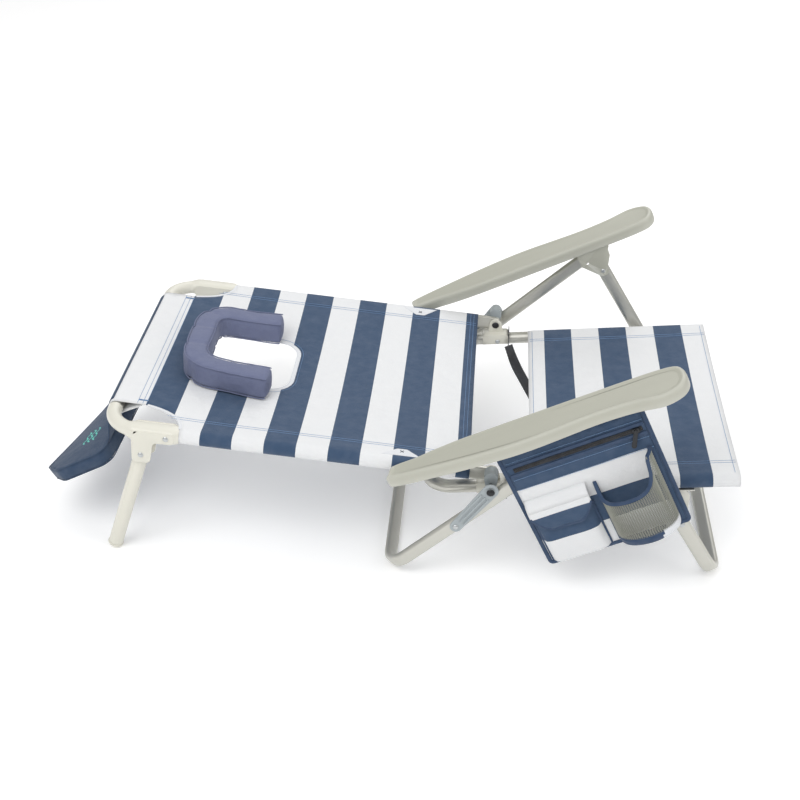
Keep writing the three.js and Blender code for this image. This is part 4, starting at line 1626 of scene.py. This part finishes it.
def draw_phone_pocket():
    """The gusseted phone pocket, fuller at its foot, and its scalloped flap."""
    rows = []
    a0, a1, low, high, depth = PHONE.values()
    for b in even(low, high, 6):
        share = (b - low) / (high - low)
        bulge = depth * (0.72 + 0.28 * math.sin(math.pi * min(1, 0.25 + share)))
        row = [out_of_pouch(a0, b, 3)]
        for i in range(17):
            t = i / 16
            out = bulge * (1 - abs(2 * t - 1) ** 5) ** 0.5 + 3
            sway = 1.4 * math.sin(9 * t + 3 * share)
            row.append(out_of_pouch(a0 + (a1 - a0) * t, b + sway * share, out + 0.4 * sway))
        row.append(out_of_pouch(a1, b, 3))
        rows.append(row)
    foot = [out_of_pouch(p.x, low, 3) for p in rows[0]]
    made = piece(
        "phone_pocket_front",
        grid([foot, *rows]),
        "arms",
        striped_sling("pouch"),
        ARM,
        replaces=["phone_pocket"],
    )
    thicken(made, 1.1)
    mouth = [p + Vector((0, 0, 0.5)) for p in rows[-1][1:-1]]
    sides = [
        [out_of_pouch(a, b, 4) for b in even(low, high, 8)] for a in (a0, a1)
    ]
    tape = [(v, u) for u, v in flat_round(1.1, 2.6, 4)]
    shapes = [sweep(mouth, tape, up=(0, 1, 0))]
    shapes += [sweep(side, tape, up=(0, 1, 0)) for side in sides]
    edging = joined(*shapes)
    piece("phone_pocket_binding", edging, "arms", binding("navy"), ARM)

    flap_rows = []
    top, foot_b = -141, -187
    for i in range(25):
        t = i / 24
        a = 190 + 116 * t
        scallop = 36 * abs(2 * t - 1) ** 3 - 5 * math.sin(math.pi * t)
        row = []
        for j in range(9):
            s = j / 8
            b = top + (foot_b + max(0, scallop) - top) * s
            row.append(out_of_pouch(a, b, 18.4 + 1.0 * math.sin(7 * t + 2 * s) * s))
        flap_rows.append(row)
    made = piece(
        "pocket_flap_cloth",
        grid(flap_rows),
        "pocket_flap",
        striped_sling("pouch"),
        ARM,
        replaces=["pocket_flap"],
    )
    thicken(made, 1.2)
    rim = [row[-1] for row in flap_rows]
    shape = sweep(rim, [(v, u) for u, v in flat_round(1.1, 2.4, 4)], up=(0, 1, 0))
    piece("pocket_flap_binding", shape, "pocket_flap", binding("navy"), ARM)
    fold = []
    bends = ((-120, 2.4), (-124, 8), (-131, 14.5), (-141, 18.4))
    for a in even(190, 306, 6):
        fold.append([out_of_pouch(a, b, out) for b, out in bends])
    made = piece(
        "flap_hinge_fold",
        grid(fold),
        "arms",
        striped_sling("pouch"),
        ARM,
    )
    thicken(made, 1.2)


HOLDER = {"a": 379, "half": 57, "depth": 48, "low": -261, "high": -92}


def holder_rim(t):
    """The height of the bottle holder's mouth: low in the middle, and up to the panel at its sides."""
    across = (t - 0.4) / 0.42
    dip = math.sqrt(1 - across**4) if abs(across) < 1 else 0
    return HOLDER["high"] - 8 * (1 - t) - 62 * dip


def holder_point(t, b):
    angle = math.pi * (1 - t)
    squash = 0.9 + 0.1 * (b - HOLDER["low"]) / 170
    a = HOLDER["a"] + HOLDER["half"] * math.cos(angle)
    out = 3 + HOLDER["depth"] * squash * math.sin(angle) ** 0.85
    return out_of_pouch(a, b, out)


def draw_bottle_holder():
    """The knitted mesh bottle holder, its bound mouth and its cloth base."""
    columns, rows_high = 40, 30
    rows = []
    for j in range(rows_high + 1):
        row = []
        for i in range(columns + 1):
            t = i / columns
            low = HOLDER["low"] + 17
            row.append(holder_point(t, low + (holder_rim(t) - low) * j / rows_high))
        rows.append(row)
    made = piece(
        "bottle_holder_mesh",
        grid(rows),
        "arms",
        knitted_mesh(),
        ARM,
        replaces=["bottle_holder"],
    )
    strands = made.modifiers.new("open knit", "WIREFRAME")
    strands.thickness = 1.8 * MM
    strands.use_replace = True
    strands.use_even_offset = False

    tape = [(v, u) for u, v in flat_round(1.3, 3.4, 4)]
    mouth = [holder_point(t, holder_rim(t)) for t in even(0, 1, 0.03)]
    left = [holder_point(0, b) for b in even(HOLDER["low"], holder_rim(0), 8)]
    right = [holder_point(1, b) for b in even(HOLDER["low"], holder_rim(1), 8)]
    shapes = [sweep(mouth, tape, up=(0, 0.7, -0.7))]
    shapes += [sweep(side, tape, up=(0, 1, 0)) for side in (left, right)]
    edging = joined(*shapes)
    piece("bottle_holder_binding", edging, "arms", binding("navy"), ARM)

    base_rows = []
    for b, share in ((-243, 1), (-252, 1), (-259, 0.98), (-262, 0.9), (-262, 0.5), (-262, 0.05)):
        row = []
        for i in range(columns + 1):
            point = holder_point(i / columns, b)
            middle = out_of_pouch(HOLDER["a"], b, 3)
            row.append(middle.lerp(point, share))
        base_rows.append(row)
    made = piece(
        "bottle_holder_base",
        grid(base_rows),
        "arms",
        binding("navy"),
        ARM,
    )
    made.data.materials.append(binding("white"))
    turn_over = (ARM @ out_of_pouch(HOLDER["a"] + 18, HOLDER["low"], 0)).x
    for face in made.data.polygons:
        face.material_index = int(face.center.x > turn_over)
    thicken(made, 1.2)


# ---------------------------------------------------------------- stage


def draw_stage():
    """A pale floor, soft studio light and the camera."""
    size = 14
    corners = [(-size, -size, 0), (size, -size, 0), (size, size, 0), (-size, size, 0)]
    mesh = bpy.data.meshes.new("studio_floor")
    mesh.from_pydata(corners, [], [[0, 1, 2, 3]])
    floor = bpy.data.objects.new("studio_floor", mesh)
    floor.location.z = -0.0005
    material, _, shader = start_material("studio_paper", (0.93, 0.93, 0.93), 0.9)
    shader.inputs["Emission Color"].default_value = (1, 1, 1, 1)
    shader.inputs["Emission Strength"].default_value = 0.2
    mesh.materials.append(material)
    bpy.context.scene.collection.objects.link(floor)

    world = bpy.data.worlds.new("studio")
    world.use_nodes = True
    background = world.node_tree.nodes["Background"]
    background.inputs["Color"].default_value = (1, 1, 1, 1)
    tree = world.node_tree
    direction = add_node(tree, "ShaderNodeTexCoord").outputs["Generated"]
    height = add_node(tree, "ShaderNodeSeparateXYZ", {0: direction})
    # Dimmer near the horizon than overhead, so that upright faces are shaded
    ceiling = add_node(
        tree, "ShaderNodeMapRange", {0: height.outputs["Z"], 1: 0.1, 2: 0.9, 3: 0.3, 4: 0.85}
    )
    tree.links.new(ceiling.outputs[0], background.inputs["Strength"])
    bpy.context.scene.world = world
    for name, place, power, width in (
        ("key", (-1.6, -2.2, 3.2), 62, 2.6),
        ("fill", (2.6, -1.4, 2.4), 26, 2.4),
        ("back", (0.4, 2.8, 2.6), 34, 3.0),
    ):
        light = bpy.data.lights.new(f"softbox_{name}", "AREA")
        light.energy = power
        light.size = width
        lamp = bpy.data.objects.new(light.name, light)
        lamp.location = place
        lamp.rotation_euler = (-Vector(place)).to_track_quat("-Z", "Y").to_euler()
        bpy.context.scene.collection.objects.link(lamp)

    pitch, yaw = math.radians(32), math.radians(4.33)
    ahead = Vector(
        (-math.cos(pitch) * math.sin(yaw), math.cos(pitch) * math.cos(yaw), -math.sin(pitch))
    )
    camera = bpy.data.cameras.new("camera")
    camera.lens = 58.87
    camera.clip_end = 60
    viewer = bpy.data.objects.new("camera", camera)
    viewer.location = (-0.0185, -2.257, 1.5918)
    viewer.rotation_euler = ahead.to_track_quat("-Z", "Y").to_euler()
    bpy.context.scene.collection.objects.link(viewer)
    bpy.context.scene.camera = viewer
    bpy.context.scene.view_settings.view_transform = "Standard"


# ---------------------------------------------------------------- operators


class DrawPieces:
    """Shared by the operators below: each runs its own list of makers."""

    bl_options = {"REGISTER", "UNDO"}
    makers = ()

    def execute(self, context):
        for make in self.makers:
            make()
        return {"FINISHED"}


class LOUNGER_OT_tubes(DrawPieces, bpy.types.Operator):
    """Draw the seat, back, leg and head leg tubes"""

    bl_idname = "lounger.tubes"
    bl_label = "Tubes and Legs"
    makers = (draw_tubes, draw_head_legs)


class LOUNGER_OT_fittings(DrawPieces, bpy.types.Operator):
    """Round the brackets and links, and turn the rivets, pins and bolts"""

    bl_idname = "lounger.fittings"
    bl_label = "Brackets and Pins"
    makers = (draw_brackets, draw_corner_brackets, draw_pins)


class LOUNGER_OT_armrests(DrawPieces, bpy.types.Operator):
    """Mould the two armrests"""

    bl_idname = "lounger.armrests"
    bl_label = "Armrests"
    makers = (draw_armrests,)


class LOUNGER_OT_slings(DrawPieces, bpy.types.Operator):
    """Stretch the striped seat and back slings over their rails"""

    bl_idname = "lounger.slings"
    bl_label = "Striped Slings"
    makers = (draw_seat_cloth, draw_back_cloth)


class LOUNGER_OT_cushion(DrawPieces, bpy.types.Operator):
    """Stuff the horseshoe face cushion"""

    bl_idname = "lounger.cushion"
    bl_label = "Face Cushion"
    makers = (draw_cushion,)


class LOUNGER_OT_pillow(DrawPieces, bpy.types.Operator):
    """Hang the pillow from the head rail"""

    bl_idname = "lounger.pillow"
    bl_label = "Hanging Pillow"
    makers = (draw_pillow,)


class LOUNGER_OT_strap(DrawPieces, bpy.types.Operator):
    """Sling the carry strap under the seat"""

    bl_idname = "lounger.strap"
    bl_label = "Carry Strap"
    makers = (draw_strap,)


class LOUNGER_OT_pouch(DrawPieces, bpy.types.Operator):
    """Sew the pouch, its zip, phone pocket and bottle holder"""

    bl_idname = "lounger.pouch"
    bl_label = "Storage Pouch"
    makers = (draw_pouch, draw_phone_pocket, draw_bottle_holder)


class LOUNGER_OT_stage(DrawPieces, bpy.types.Operator):
    """Set the floor, the lights and the camera"""

    bl_idname = "lounger.stage"
    bl_label = "Stage"
    makers = (draw_stage,)


OPERATORS = (
    LOUNGER_OT_stage,
    LOUNGER_OT_tubes,
    LOUNGER_OT_fittings,
    LOUNGER_OT_armrests,
    LOUNGER_OT_slings,
    LOUNGER_OT_cushion,
    LOUNGER_OT_pillow,
    LOUNGER_OT_strap,
    LOUNGER_OT_pouch,
)


class LOUNGER_PT_panel(bpy.types.Panel):
    """Lists the lounger's settings and pieces"""

    bl_label = "Beach Lounger"
    bl_idname = "LOUNGER_PT_panel"
    bl_space_type = "VIEW_3D"
    bl_region_type = "UI"
    bl_category = "Lounger"

    def draw(self, context):
        for settings in (context.scene.lounger_cloth, context.scene.lounger_frame):
            box = self.layout.box()
            for name in settings.bl_rna.properties.keys():
                if name not in ("rna_type", "name"):
                    box.prop(settings, name)
        column = self.layout.column(align=True)
        for operator in OPERATORS:
            column.operator(operator.bl_idname)


CLASSES = (LoungerCloth, LoungerFrame, *OPERATORS, LOUNGER_PT_panel)


def register():
    for made in CLASSES:
        bpy.utils.register_class(made)
    bpy.types.Scene.lounger_cloth = PointerProperty(type=LoungerCloth)
    bpy.types.Scene.lounger_frame = PointerProperty(type=LoungerFrame)


def unregister():
    del bpy.types.Scene.lounger_frame
    del bpy.types.Scene.lounger_cloth
    for made in reversed(CLASSES):
        bpy.utils.unregister_class(made)


def main():
    register()
    for operator in OPERATORS:
        _, name = operator.bl_idname.split(".")
        getattr(bpy.ops.lounger, name)()


if __name__ == "__main__":
    main()
